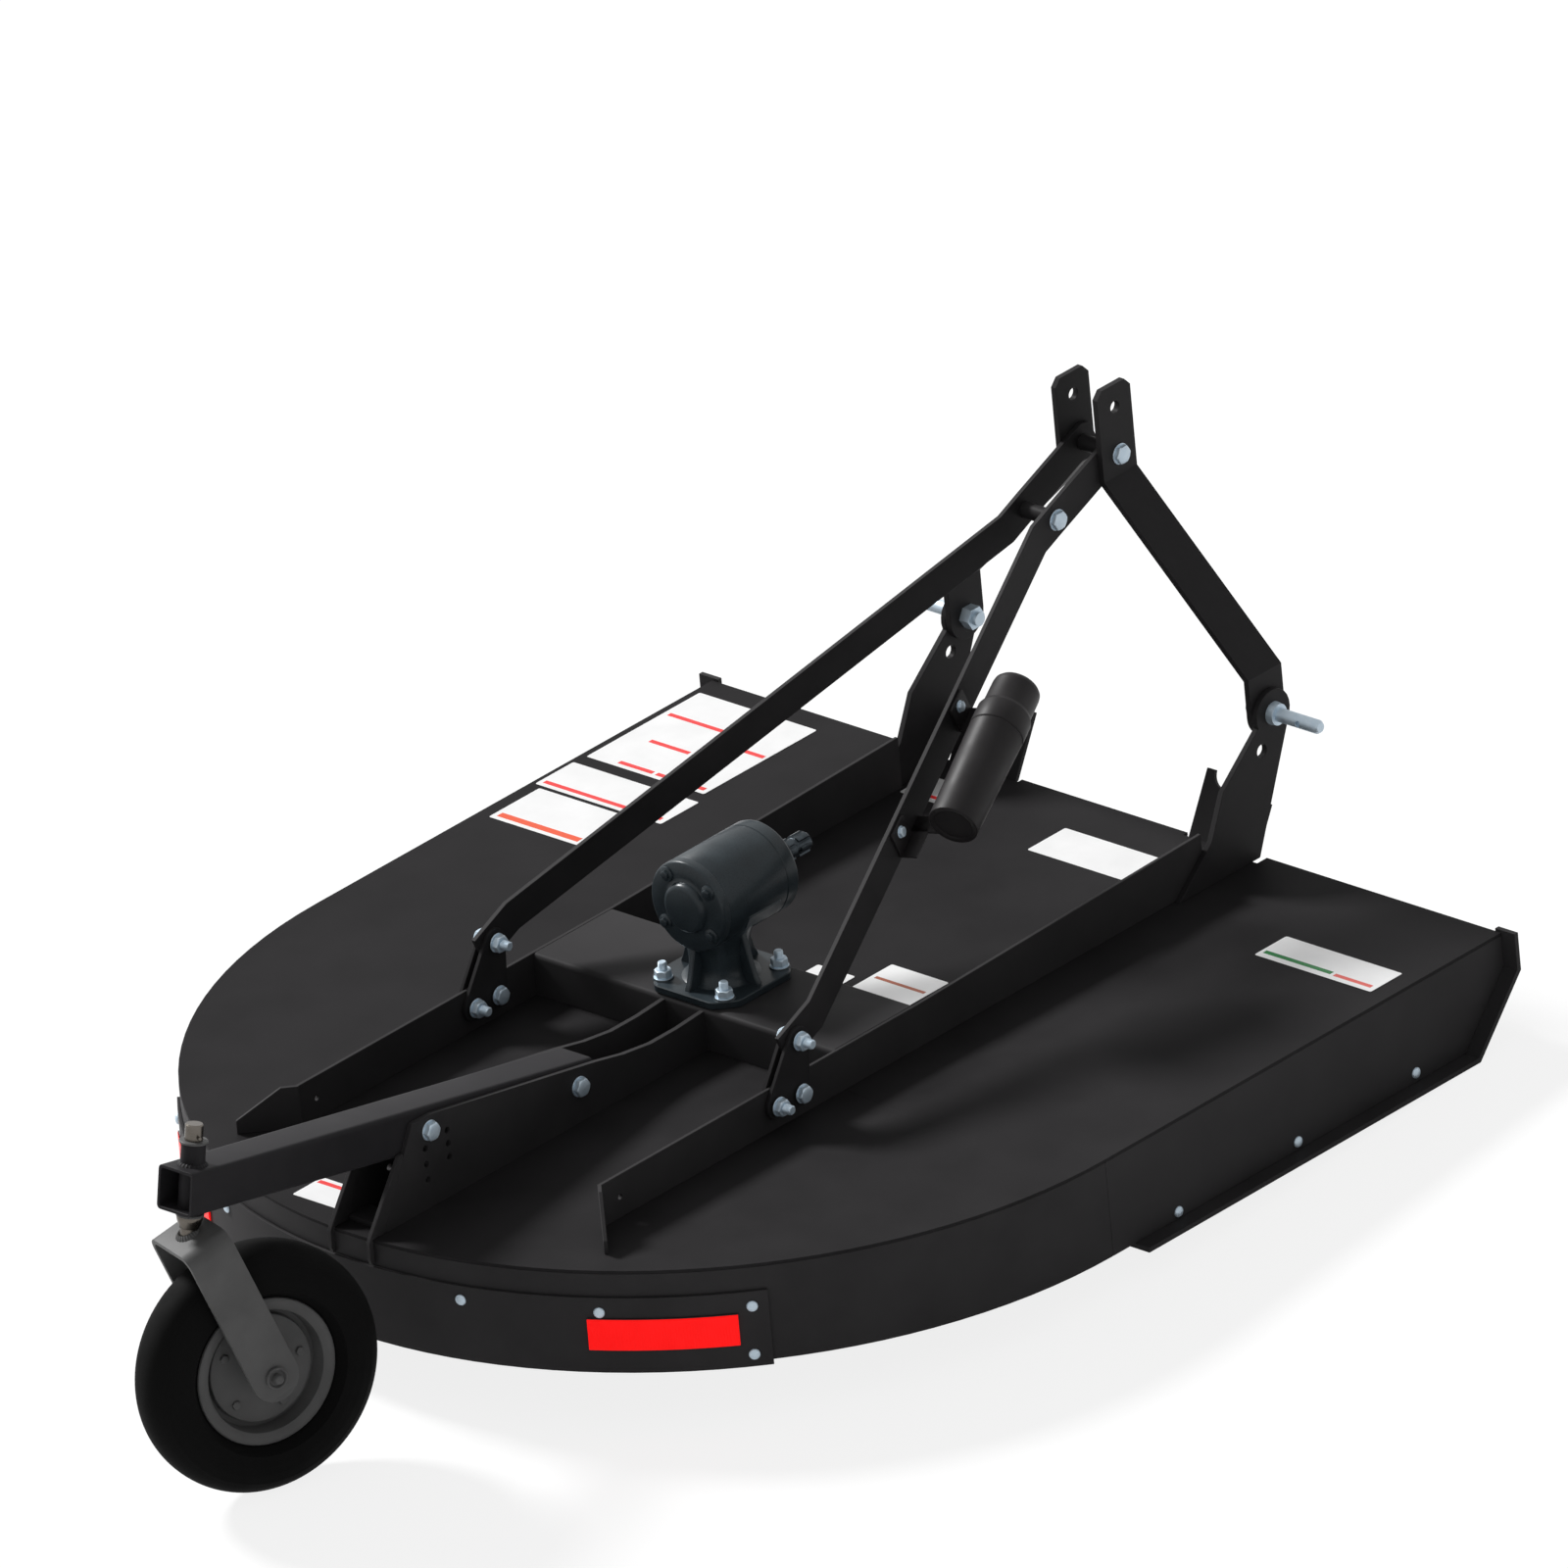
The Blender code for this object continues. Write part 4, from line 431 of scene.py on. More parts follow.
@dataclass(frozen=True)
class Finish:
    """What every finish has: a name, two close shades, a roughness and a fine relief.

    Attributes:
        name: Name of the material.
        shade: The darker of its two shades, sRGB hex.
        light: The lighter shade.
        roughness: Middle of the roughness.
        spread: How far the roughness wanders either way.
        metallic: 1 for a bare metal surface.
        ior: Refractive index; metals keep Blender's own.
        specular: Strength of the clear reflection, 0.5 being the physical one.
        cloud: Size of the patches that the shade drifts over, in millimetres.
        grain: Size of the relief, in millimetres.
        relief: Height of the relief, in millimetres.
        coat: Weight of a clear layer on top.
        stretch: Scale of the relief along X, Y and Z.
        glow: Light given back by a reflector, as a share of its own colour.
        slot: The record's material slot of a piece that wears it first; not used.
    """

    name: str
    shade: str
    light: str
    roughness: float = 0.45
    spread: float = 0.05
    metallic: float = 0.0
    ior: float = 1.5
    specular: float = 0.5
    cloud: float = 120.0
    grain: float = 3.0
    relief: float = 0.05
    coat: float = 0.0
    stretch: tuple[float, float, float] = (1.0, 1.0, 1.0)
    glow: float = 0.0
    slot: str = "powder_coat_black"

    def relief_height(self, tree: Tree, place: Socket) -> Socket:
        """Height of the fine relief: noise with grains of the stated size."""
        return add_node(tree, "TexNoise", {"Scale": per_metre(self.grain), "Detail": 2.0},
                        {"Vector": place}).outputs["Fac"]

    def colour(self, tree: Tree, shade: Socket, height: Socket) -> Socket:
        """The colour that the shader takes; by itself the drifting shade."""
        return shade

    def material(self) -> bpy.types.Material:
        """Build the material, its shade, roughness and relief driven by noise on the piece.

        Returns:
            The material, or the one of this name that was built before.
        """
        found = bpy.data.materials.get(self.name)
        if found is not None:
            return found
        made = bpy.data.materials.new(self.name)
        tree = empty_tree(made)
        where = add_node(tree, "TexCoord").outputs["Object"]
        place = add_node(tree, "Mapping", {"Scale": self.stretch}, {"Vector": where})
        patches = add_node(tree, "TexNoise",
                           {"Scale": per_metre(self.cloud), "Detail": 3.0}, {"Vector": where})
        ramp = add_node(tree, "ValToRGB", links={"Fac": patches.outputs["Fac"]})
        for stop, at, shade in zip(ramp.color_ramp.elements, NOISE, (self.shade, self.light)):
            stop.position = at
            stop.color = linear(shade)
        height = self.relief_height(tree, place.outputs["Vector"])
        gloss = add_node(tree, "MapRange",
                         {"From Min": NOISE[0], "From Max": NOISE[1],
                          "To Min": self.roughness - self.spread,
                          "To Max": self.roughness + self.spread},
                         {"Value": patches.outputs["Fac"]})
        bump = add_node(tree, "Bump", {"Distance": self.relief / 1000, "Strength": 1.0},
                        {"Height": height})
        settings = {"Metallic": self.metallic, "Coat Weight": self.coat, "Coat Roughness": 0.2,
                    "Emission Color": linear(self.light), "Emission Strength": self.glow}
        if self.metallic < 0.5:
            settings |= {"IOR": self.ior, "Specular IOR Level": self.specular}
        shader = add_node(tree, "BsdfPrincipled", settings,
                          {"Base Color": self.colour(tree, ramp.outputs["Color"], height),
                           "Roughness": gloss.outputs["Result"], "Normal": bump.outputs["Normal"]})
        add_node(tree, "OutputMaterial", links={"Surface": shader.outputs["BSDF"]})
        return made


@dataclass(frozen=True)
class PittedFinish(Finish):
    """A finish whose grains also tint it, darker where its relief is low."""

    pit: str = "#000000"
    depth: float = 0.35

    def colour(self, tree: Tree, shade: Socket, height: Socket) -> Socket:
        """The drifting shade, darkened towards the pit colour where the relief is low."""
        share = add_node(tree, "MapRange",
                         {"From Min": 0.35, "From Max": 0.55, "To Min": self.depth, "To Max": 0.0},
                         {"Value": height})
        return add_node(tree, "MixRGB", {"Color2": linear(self.pit)},
                        {"Fac": share.outputs["Result"], "Color1": shade}).outputs["Color"]


@dataclass(frozen=True)
class CellFinish(Finish):
    """A finish with a relief of small cells, as the prisms in a reflector's lens."""

    def relief_height(self, tree: Tree, place: Socket) -> Socket:
        """Height of the cells: distance to the nearest cell's middle."""
        return add_node(tree, "TexVoronoi",
                        {"Scale": per_metre(self.grain), "Randomness": 0.15},
                        {"Vector": place}).outputs["Distance"]


# Polyester powder coat, baked: a matt black that mirrors little, with a soft orange peel. The
# peel is about 1 mm across and is drawn at 3 mm so that it shows.
DECK_COAT = Finish("powder_coat_satin", "#272627", "#2e2d2e", 0.55, specular=0.025, relief=0.035)
# The same coat on skirts, rails and welded brackets, drawn paler than on the deck: painted light for
# the brighter light that these upright pieces catch.
SIDE_COAT_PAINTED_LIGHT = Finish("powder_coat_sides_painted_light", "#363536", "#3d3c3d", 0.52, specular=0.04, relief=0.035)
# The same coat on the flat bars, a thinner film with a finer peel.
BAR_COAT = Finish("powder_coat_bars", "#2b2a2b", "#302f30", 0.48, specular=0.06, cloud=70,
                  grain=2.4, relief=0.03)
# The tail arm's coat, a little greyer than the deck's.
ARM_COAT = Finish("powder_coat_arm", "#29282a", "#2f2e30", 0.5, specular=0.06, cloud=90,
                  grain=2.6, relief=0.03)
# Machine enamel sprayed over sand-cast iron: blue-black and glossy, the sand's 1 mm grain
# showing through, drawn at 2 mm, darker in the pits.
CAST_ENAMEL = PittedFinish("enamel_cast_iron", "#293136", "#323b40", 0.36, specular=0.22, cloud=45,
                           grain=2.2, relief=0.1, coat=0.06, pit="#12171a", depth=0.3,
                           slot="gearbox_paint")
# Zinc plate with a clear blue passivate: pale, bluish, a soft crystalline grain under 1 mm.
ZINC = Finish("zinc_blue_passivate", "#c0d2e0", "#d0dfea", 0.48, 0.07, metallic=0.45, cloud=12,
              grain=0.9, relief=0.02, slot="zinc_plate")
# Ground steel of the spindle: bright, warm, drawn with fine rings across its axis.
GROUND_STEEL = Finish("ground_steel", "#5c5751", "#6c6761", 0.3, 0.06, metallic=1.0, cloud=20,
                      grain=1.2, relief=0.02, stretch=(0.2, 0.2, 3.0), slot="bare_steel")
# Hardened splined steel under a film of oil: dark blue-grey.
OILED_STEEL = Finish("oiled_spline_steel", "#30373c", "#424a50", 0.34, 0.06, metallic=0.7,
                     cloud=15, grain=1.0, relief=0.02, stretch=(3.0, 0.3, 3.0), slot="bare_steel")
# Grey hammered-dry enamel on the fork and rim: mid grey, nearly matt.
GREY_ENAMEL = Finish("grey_enamel", "#575757", "#626262", 0.52, specular=0.18, cloud=60, grain=1.8,
                     relief=0.03, slot="grey_paint")
# Carbon-filled tyre rubber: deep black, dry, with moulding grain of 1 mm and a bloom of dust.
RUBBER = PittedFinish("tyre_rubber_moulded", "#0b0b0b", "#101010", 0.75, specular=0.06, cloud=35,
                      grain=1.4, relief=0.1, pit="#040404", depth=0.4, slot="tyre_rubber")
# Injection-moulded polyethylene: soft black with a fine leathery texture.
PLASTIC = Finish("moulded_polyethylene", "#232122", "#292728", 0.46, specular=0.12, ior=1.51,
                 cloud=40, grain=1.3, relief=0.04, slot="black_plastic")
# Acrylic retro-reflector: saturated red under a glossy face, prisms of 3 mm behind it. It sends
# light back to the eye, drawn as a red glow.
LENS = CellFinish("acrylic_prism_lens", "#f01212", "#ff1a1a", 0.2, 0.03, ior=1.49, specular=0.05,
                  cloud=30, grain=3.2, relief=0.25, glow=0.62, slot="red_reflector")
# Printed vinyl label stock: white, satin, faintly dappled.
VINYL = Finish("vinyl_white", "#efefef", "#f6f6f6", 0.38, specular=0.3, cloud=60, grain=4.0,
               relief=0.015)
# Hot-rolled blade steel with mill scale: dark grey, dull, cloudy.
BLADE = PittedFinish("mill_scale_steel", "#3b3a39", "#575553", 0.5, 0.08, metallic=0.6, cloud=30,
                     grain=2.0, relief=0.08, pit="#1d1b1a", depth=0.45, slot="blade_steel")


class Ink(Enum):
    """The printed colours of the label stripes."""

    RED = ("ink_red", "#f23a3a")
    ORANGE = ("ink_orange", "#ee5a34")
    GREEN = ("ink_green", "#1f7a3c")
    CORAL = ("ink_coral", "#e0645a")
    BROWN = ("ink_brown", "#a8593c")

    def finish(self) -> Finish:
        """The ink as a finish: vinyl's surface with a faint unevenness of print."""
        name, colour = self.value
        return Finish(name, colour, colour, 0.36, specular=0.3, cloud=25, grain=4.0, relief=0.015)


# Pieces

def new_object(name: str, data: bpy.types.ID) -> bpy.types.Object:
    """Add an object with this data to the scene."""
    made = bpy.data.objects.new(name, data)
    bpy.context.scene.collection.objects.link(made)
    return made


def make_piece(name: str, shell: Shell, finishes: list[Finish], replaced: tuple[str, ...] = (),
               body: str = "deck", at: Array | None = None, smooth: float = 32.0) -> bpy.types.Object:
    """Turn a surface into one finished piece of the machine.

    Args:
        name: The piece's name.
        shell: Its surface.
        finishes: The finishes that the faces' marks number.
        replaced: CAD nodes that it stands for.
        body: CAD body that it rides on.
        at: Matrix from the surface's frame to the body's, or none where they are one.
        smooth: Faces that meet at less than this many degrees are shaded as one.

    Returns:
        The new object, at the origin, with its place in its mesh.
    """
    placed = shell.placed(FRAMES[body] if at is None else FRAMES[body] @ at)
    mesh = bpy.data.meshes.new(name)
    mesh.vertices.add(len(placed.points))
    mesh.vertices.foreach_set("co", placed.points.astype(np.float32).ravel())
    mesh.loops.add(len(placed.loops))
    mesh.loops.foreach_set("vertex_index", placed.loops.astype(np.int32))
    mesh.polygons.add(len(placed.sizes))
    starts = np.concatenate([[0], np.cumsum(placed.sizes)[:-1]])
    mesh.polygons.foreach_set("loop_start", starts.astype(np.int32))
    mesh.polygons.foreach_set("material_index", placed.marks.astype(np.int32))
    mesh.update(calc_edges=True)
    mesh.validate()
    clean(mesh)
    return finish_piece(name, mesh, finishes, replaced, body, smooth)


def clean(mesh: bpy.types.Mesh) -> None:
    """Merge doubled points, drop faces without area and point every face outwards."""
    work = bmesh.new()
    work.from_mesh(mesh)
    bmesh.ops.remove_doubles(work, verts=work.verts, dist=MERGE)
    bmesh.ops.dissolve_degenerate(work, dist=MERGE, edges=work.edges)
    bmesh.ops.recalc_face_normals(work, faces=work.faces)
    work.to_mesh(mesh)
    work.free()


def finish_piece(name: str, mesh: bpy.types.Mesh, finishes: list[Finish],
                 replaced: tuple[str, ...], body: str, smooth: float) -> bpy.types.Object:
    """Add a mesh to the scene as a piece with its finishes and body."""
    mesh.shade_smooth()
    mesh.set_sharp_from_angle(angle=math.radians(smooth))
    for finish in finishes:
        mesh.materials.append(finish.material())
    piece = new_object(name, mesh)
    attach(piece, body)
    if replaced:
        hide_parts(*replaced)
    log.info("%s: %d faces on %s", name, len(mesh.polygons), body)
    return piece


def soften(node: str, finish: Finish, body: str = "deck", edge: float = 0.0009) -> None:
    """Stand in for a CAD plate with a copy of it whose edges are broken as on real plate.

    The copy's loose triangles are merged and its flat faces joined, and a bevel with its
    normals kept flat then rounds every sharp edge.

    Args:
        node: Name of the CAD node.
        finish: Finish of the copy.
        body: Body that it rides on.
        edge: Width of the rounded edge.
    """
    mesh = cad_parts[node].data.copy()
    mesh.materials.clear()
    work = bmesh.new()
    work.from_mesh(mesh)
    bmesh.ops.remove_doubles(work, verts=work.verts, dist=CAD_MERGE)
    bmesh.ops.dissolve_limit(work, angle_limit=FLAT, verts=work.verts, edges=work.edges)
    for polygon in work.faces:
        polygon.material_index = 0
    work.to_mesh(mesh)
    work.free()
    for extra in [item.name for item in mesh.attributes if item.name.startswith("custom_normal")]:
        mesh.attributes.remove(mesh.attributes[extra])
    piece = finish_piece(f"{node}_edged", mesh, [finish], (node,), body, 34.0)
    bevel = piece.modifiers.new("broken_edge", "BEVEL")
    bevel.width = edge
    bevel.segments = 2
    bevel.limit_method = "ANGLE"
    bevel.angle_limit = SHARP
    bevel.harden_normals = True


# Fasteners

@dataclass
class Bolt:
    """A hexagon bolt.

    Attributes:
        radius: Thread radius.
        flats: Distance from the axis to a flat of head and nut.
        head: Head height.
        dome: Height of the head's crown.
    """

    radius: float
    flats: float
    head: float
    dome: float

    def end(self, tip: float = 0.0) -> Shell:
        """One end up from height 0: the head, or a nut that the thread leaves by a tip."""
        disc = washer(self.flats * 1.25, self.radius * 0.5, 0.0, 0.0016)
        seat = 0.0014
        if not tip:
            return joined(disc, nut(self.flats, self.head, self.dome, False).placed(shift(z=seat)))
        thread = threaded(self.radius, self.head + tip).placed(shift(z=self.head * 0.2 + seat))
        return joined(disc, nut(self.flats, self.head * 1.2).placed(shift(z=seat)), thread)

    def across(self, reach: float, right: float, left: float, spare: float = 0.0) -> Shell:
        """The whole bolt along X.

        Args:
            reach: Distance of both washers from the middle.
            right: Length of thread beyond the right end's nut, or 0 for the head.
            left: The same at the left end.
            spare: How far the shank runs on under the left end.

        Returns:
            Both ends and the shank.
        """
        near = shift(reach) @ TO_X
        return joined(self.end(right).placed(near),
                      self.end(left).placed(shift(-reach) @ TO_LEFT),
                      rod(self.radius, -2 * reach - spare, 0.001, 24).placed(near))


def carriage_head(radius: float, height: float) -> Shell:
    """A domed bolt head on Z: height times the root of one minus the squared radius share."""
    share = np.sin(np.linspace(0, QUARTER, 8))[::-1]
    line = [(radius * s, height * math.sqrt(max(0.0, 1 - s * s)) + 0.0006) for s in share]
    return turned([(0, 0), (radius, 0), *line[:-1], (0, line[-1][1])], 28)


# West, east, south and north edge of each label in millimetres, and its stripes: ink, west and
# east end, middle and width.
LABELS: dict[str, tuple[tuple[float, ...], list[tuple[Ink, float, float, float, float]]]] = {
    "front_left": ((-787, -547, -301, -43),
                   [(Ink.RED, -777, -640, -124, 9), (Ink.RED, -600, -553, -157, 9),
                    (Ink.RED, -740, -660, -208, 9), (Ink.RED, -731, -662, -288, 9),
                    (Ink.RED, -655, -556, -288, 9)]),
    "middle_left": ((-791, -534, -413, -326), [(Ink.RED, -783, -544, -400, 9)]),
    "rear_left": ((-775, -592, -536, -421), [(Ink.ORANGE, -766, -602, -521, 13)]),
    "front_middle": ((0, 195, -177, -90), []),
    "front_right": ((532, 766, -259, -186),
                    [(Ink.GREEN, 539, 674, -243, 9), (Ink.CORAL, 681, 756, -245, 8)]),
    "shaft": ((86, 202, -683, -581), [(Ink.BROWN, 94, 194, -627, 7)]),
    "shaft_small": ((-9, 67, -684, -642), []),
    "upright": ((-298, -215, -134, -66), [(Ink.RED, -292, -221, -120, 8)]),
    "tail": ((-165, -55, -1652, -1585), [(Ink.RED, -160, -60, -1598, 9)]),
}


@dataclass
class Deck:
    """Deck shell, band, reflectors, skids, rails, crossmember and labels.

    The rear is round: an arc about the point where the straight sides end.
    """

    half: float = 0.8
    straight: float = 0.9
    sides: tuple[str, ...] = (
        "front_lip", "skirt_left", "skirt_right", "skirt_rear", "rear_band", "skid_left",
        "skid_right", "rail_left", "rail_right", "crossmember", "tail_plate_left",
        "tail_plate_right", "tail_cross_plate")
    skid_bolts: tuple[Point, ...] = ((-0.212, -0.146), (-0.481, -0.148), (-0.752, -0.15))
    band_bolts: tuple[Point, ...] = (
        (-46, -0.066), (-23, -0.066), (-7.1, -0.066), (14.05, -0.066), (29.8, -0.067),
        (46.2, -0.067), (46, -0.147), (-46, -0.147))   # degrees and Z
    band_radius: float = 0.8056
    lens_angle: float = 36.5
    lens_half_angle: float = 8.1
    lens_radius: float = 0.8059
    lens_middle: float = -0.1035
    lens_tall: float = 0.0255

    def build(self) -> None:
        """Build the shell's pieces in order."""
        soften("deck_plate", DECK_COAT)
        for node in self.sides:
            soften(node, SIDE_COAT_PAINTED_LIGHT)
        self.build_feet()
        self.build_reflectors()
        self.build_fasteners()
        self.build_labels()

    def build_feet(self) -> None:
        """Feet of the tail plates: flat hooks over the deck's rear edge, in line with them."""
        outline = mm((-1620, 110), (-1629, 110), (-1704, 6), (-1709, -3), (-1710, -30),
                     (-1707, -39), (-1701.1, -39), (-1701.1, 0.6), (-1620, 0.6))
        hooks = [plate(outline, low, low + 0.0076, 0.0008).placed(PLATE_YZ)
                 for low in (-0.0431, 0.0355)]
        make_piece("tail_plate_feet", joined(*hooks), [SIDE_COAT_PAINTED_LIGHT])

    def build_reflectors(self) -> None:
        """Two curved lenses: a rounded strip carried along the band's arc, with a bezel."""
        tall = self.lens_tall
        body = mirrored(mm((0.2, 0), (2.2, 0), (2.8, 1), (3, 3), base=-tall))
        bezel = oblong(0.0002, -tall - 0.0015, 0.002, -tall + 0.002)
        for side, name in ((-1, "left"), (1, "right")):
            spread = np.radians(np.linspace(-self.lens_half_angle, self.lens_half_angle, 25)
                                + side * self.lens_angle)
            path = np.stack([self.lens_radius * np.sin(spread),
                             -self.straight - self.lens_radius * np.cos(spread),
                             self.lens_middle + 0 * spread], 1)
            rails = [carried(bezel * (1, sign), path).marked(1) for sign in (1, -1)]
            make_piece(f"lens_{name}", joined(carried(body, path), *rails), [LENS, PLASTIC],
                       (f"reflector_{name}",))

    def build_fasteners(self) -> None:
        """Domed bolts through the skirts into the skids, and round the band."""
        head = carriage_head(0.0088, 0.0042)
        heads = [head.placed(shift(side * (self.half + SEAT), y, z) @ turn)
                 for side, turn in ((-1, TO_LEFT), (1, TO_X)) for y, z in self.skid_bolts]
        for degrees, z in self.band_bolts:
            angle = math.radians(degrees)
            at = shift(self.band_radius * math.sin(angle),
                       -self.straight - SEAT - self.band_radius * math.cos(angle), z)
            heads.append(head.placed(at @ spin("Z", angle) @ TO_BACK))
        make_piece("skirt_bolts", joined(*heads), [ZINC])

    def build_labels(self) -> None:
        """Plain white labels on the deck's top with their coloured stripes, and no print."""
        for name, (edges, stripes) in LABELS.items():
            west, east, south, north = (edge / 1000 for edge in edges)
            outline = rounded(oblong(west, south, east, north), 0.004, 4)
            shells = [plate(outline, SEAT, 0.0007, 0.0001)]
            finishes = [VINYL]
            for ink, *measures in stripes:
                left, right, y, wide = (measure / 1000 for measure in measures)
                band = oblong(left, y - wide / 2, right, y + wide / 2)
                shells.append(plate(band, 0.0006, 0.0009, 0.00005).marked(len(finishes)))
                finishes.append(ink.finish())
            make_piece(f"label_{name}", joined(*shells), finishes)


@dataclass
class Gearbox:
    """Cast housing with its ribs, covers, studs and splined input shaft."""

    base: float = 0.0703
    top: float = 0.0823
    rear: float = -0.922
    stud: float = 0.062
    cover_bolts: tuple[float, ...] = (128, 218, 322, 38)
    cover_radius: float = 0.0585

    def build(self) -> None:
        """Build the casting, the studs and the shaft."""
        stem = joined(self.flange(), self.neck(), *self.ribs(), self.snout())
        casting = joined(stem.placed(shift(y=GEAR_MIDDLE)), self.case(), *self.lugs())
        make_piece("gearbox_casting", casting, [CAST_ENAMEL], ("gearbox",), smooth=40.0)
        end = Bolt(0.0072, 0.0118, 0.01, 0.0).end(0.0125)
        make_piece("gearbox_studs", joined(*[end.placed(at) for at in self.studs(0.0014)]),
                   [ZINC], at=shift(y=GEAR_MIDDLE))
        self.build_shaft()

    def studs(self, rise: float) -> list[Array]:
        """Places of the four studs, this far over the flange's top."""
        return [shift(x * self.stud, y * self.stud, self.top + rise)
                for x in (-1, 1) for y in (-1, 1)]

    def flange(self) -> Shell:
        """Square flange with clipped, rounded corners and a raised pad under each nut."""
        half, cut = 0.088, 0.058
        corners = np.array([(half, -cut), (half, cut), (cut, half), (-cut, half),
                            (-half, cut), (-half, -cut), (-cut, -half), (cut, -half)])
        slab = plate(rounded(corners, 0.008, 4), self.base, self.top, 0.0015)
        pad = turned(mm((0, -1), (17, -1), (15.8, 1.4), (0, 1.4)), 32)
        return joined(slab, *[pad.placed(at) for at in self.studs(0.0)])

    def neck(self) -> Shell:
        """Flared neck between flange and case, with a fillet at each end."""
        foot = mm((0, -2), (62, -1), (56, 2.5), (51, 8), (48, 16), base=self.top)
        rest = mm((47, 110), (48, 135), (51, 152), (56, 164), (62, 174), (64, 190), (0, 205))
        return turned(np.vstack([foot, rest]), 64)

    def ribs(self) -> list[Shell]:
        """Four webs, each with a hollow outer edge from the flange's rim to the case."""
        share = np.linspace(0, 1, 12)
        reach = 0.078 - 0.026 * share ** 0.75
        height = self.top + 0.003 + (GEAR_AXIS - 0.045 - self.top) * share
        line = np.vstack([mm((0, -2), (78.5, -2), base=self.top), np.stack([reach, height], 1),
                          [(0, GEAR_AXIS - 0.042)]])
        web = plate(line, -0.005, 0.005, 0.0016).placed(TO_BACK)
        return [web.placed(spin("Z", QUARTER * k)) for k in range(4)]

    def case(self) -> Shell:
        """Barrel across the top: covers, rims and seals as one turned line along Y."""
        rear = mm((0, -10), (32.5, -10), (36, -9.2), (38.5, -7), (40, -3), (40.8, 0), (44, 1),
                  (48, 1.2), (70, 1.2), (72.2, 2), (73.6, 4), (74, 7), (74, 16), (73, 17),
                  (73, 18.5), (73.8, 19.5), base=self.rear)
        front = mm((74, -30), (72.8, -29), (72.8, -27.2), (74, -26.2), (74, -7), (73.2, -4),
                   (71.5, -2.2), (69, -1.5), (50, -1.5), (44, 0.5), (42.5, 4), (42, 18),
                   (41, 21), (38.5, 22), (31, 22), (30, 19.5), (21.5, 19), (20, 20.5),
                   (18.2, 20.5), (0, 20.5), base=GEAR_FRONT)
        return turned(np.vstack([rear, front]), 96).placed(shift(z=GEAR_AXIS) @ TO_Y)

    def lugs(self) -> list[Shell]:
        """Bosses for the cover bolts at both ends, and pads on the flanks."""
        boss = turned(mm((0, -4), (12.5, -4), (12, 1.2), (10.8, 2.2), (0, 2.2)), 28)
        boss = joined(boss, nut(0.0065, 0.005, 0.0004, False).placed(shift(z=0.0018)))
        made = []
        for degrees in self.cover_bolts:
            x, z = spot(self.cover_radius, math.radians(degrees))
            made += [boss.placed(shift(x, y, GEAR_AXIS + z) @ turn)
                     for y, turn in ((self.rear, TO_BACK), (GEAR_FRONT, TO_Y))]
        pad = rounded(oblong(-0.03, -0.014, 0.045, 0.014), 0.006, 4)
        flank = plate(pad, 0.066, 0.0752, 0.002).placed(spin("Z", QUARTER))
        middle = shift(0, (self.rear + GEAR_FRONT) / 2, GEAR_AXIS)
        return made + [flank.placed(middle @ spin("Y", side * math.radians(118)))
                       for side in (-1, 1)]

    def snout(self) -> Shell:
        """Output bearing housing under the flange."""
        nose = mm((0, -35), (30, -35), (40, -34.8), (42, -33), (42.5, -30))
        return turned(np.vstack([nose, mm((43, 2), (0, 2), base=self.base)]))

    def build_shaft(self) -> None:
        """Input shaft with six splines and a locking groove.

        The radius is 17.5 mm, less 2.8 mm where the angle lies within a slot, with a short
        slope on each flank; it also dips in the groove and tapers at the tip.
        """
        tip = 0.093
        along = np.concatenate([[-0.006, 0.03], np.linspace(0.0305, 0.0345, 5),
                                np.linspace(0.036, 0.056, 4), np.linspace(0.0585, 0.0675, 12),
                                np.linspace(0.069, 0.0895, 4), [0.0915, tip]])
        slot = np.abs((6 * np.arange(144) / 144) % 1 - 0.5)
        depth = np.clip((0.285 - slot) / 0.05, 0, 1)
        start = np.clip((along - 0.031) / 0.004, 0, 1)[:, None]
        groove = np.clip((0.0045 - np.abs(along - 0.063)) / 0.001, 0, 1)[:, None] * 0.0035
        radius = 0.0175 - np.maximum(0.0028 * depth * start, groove)
        radius = np.minimum(radius, 0.0148 + (tip - along)[:, None] * 1.2)
        make_piece("splined_shaft", waved(radius, along), [OILED_STEEL], ("input_shaft",),
                   "input_shaft", TO_Y)


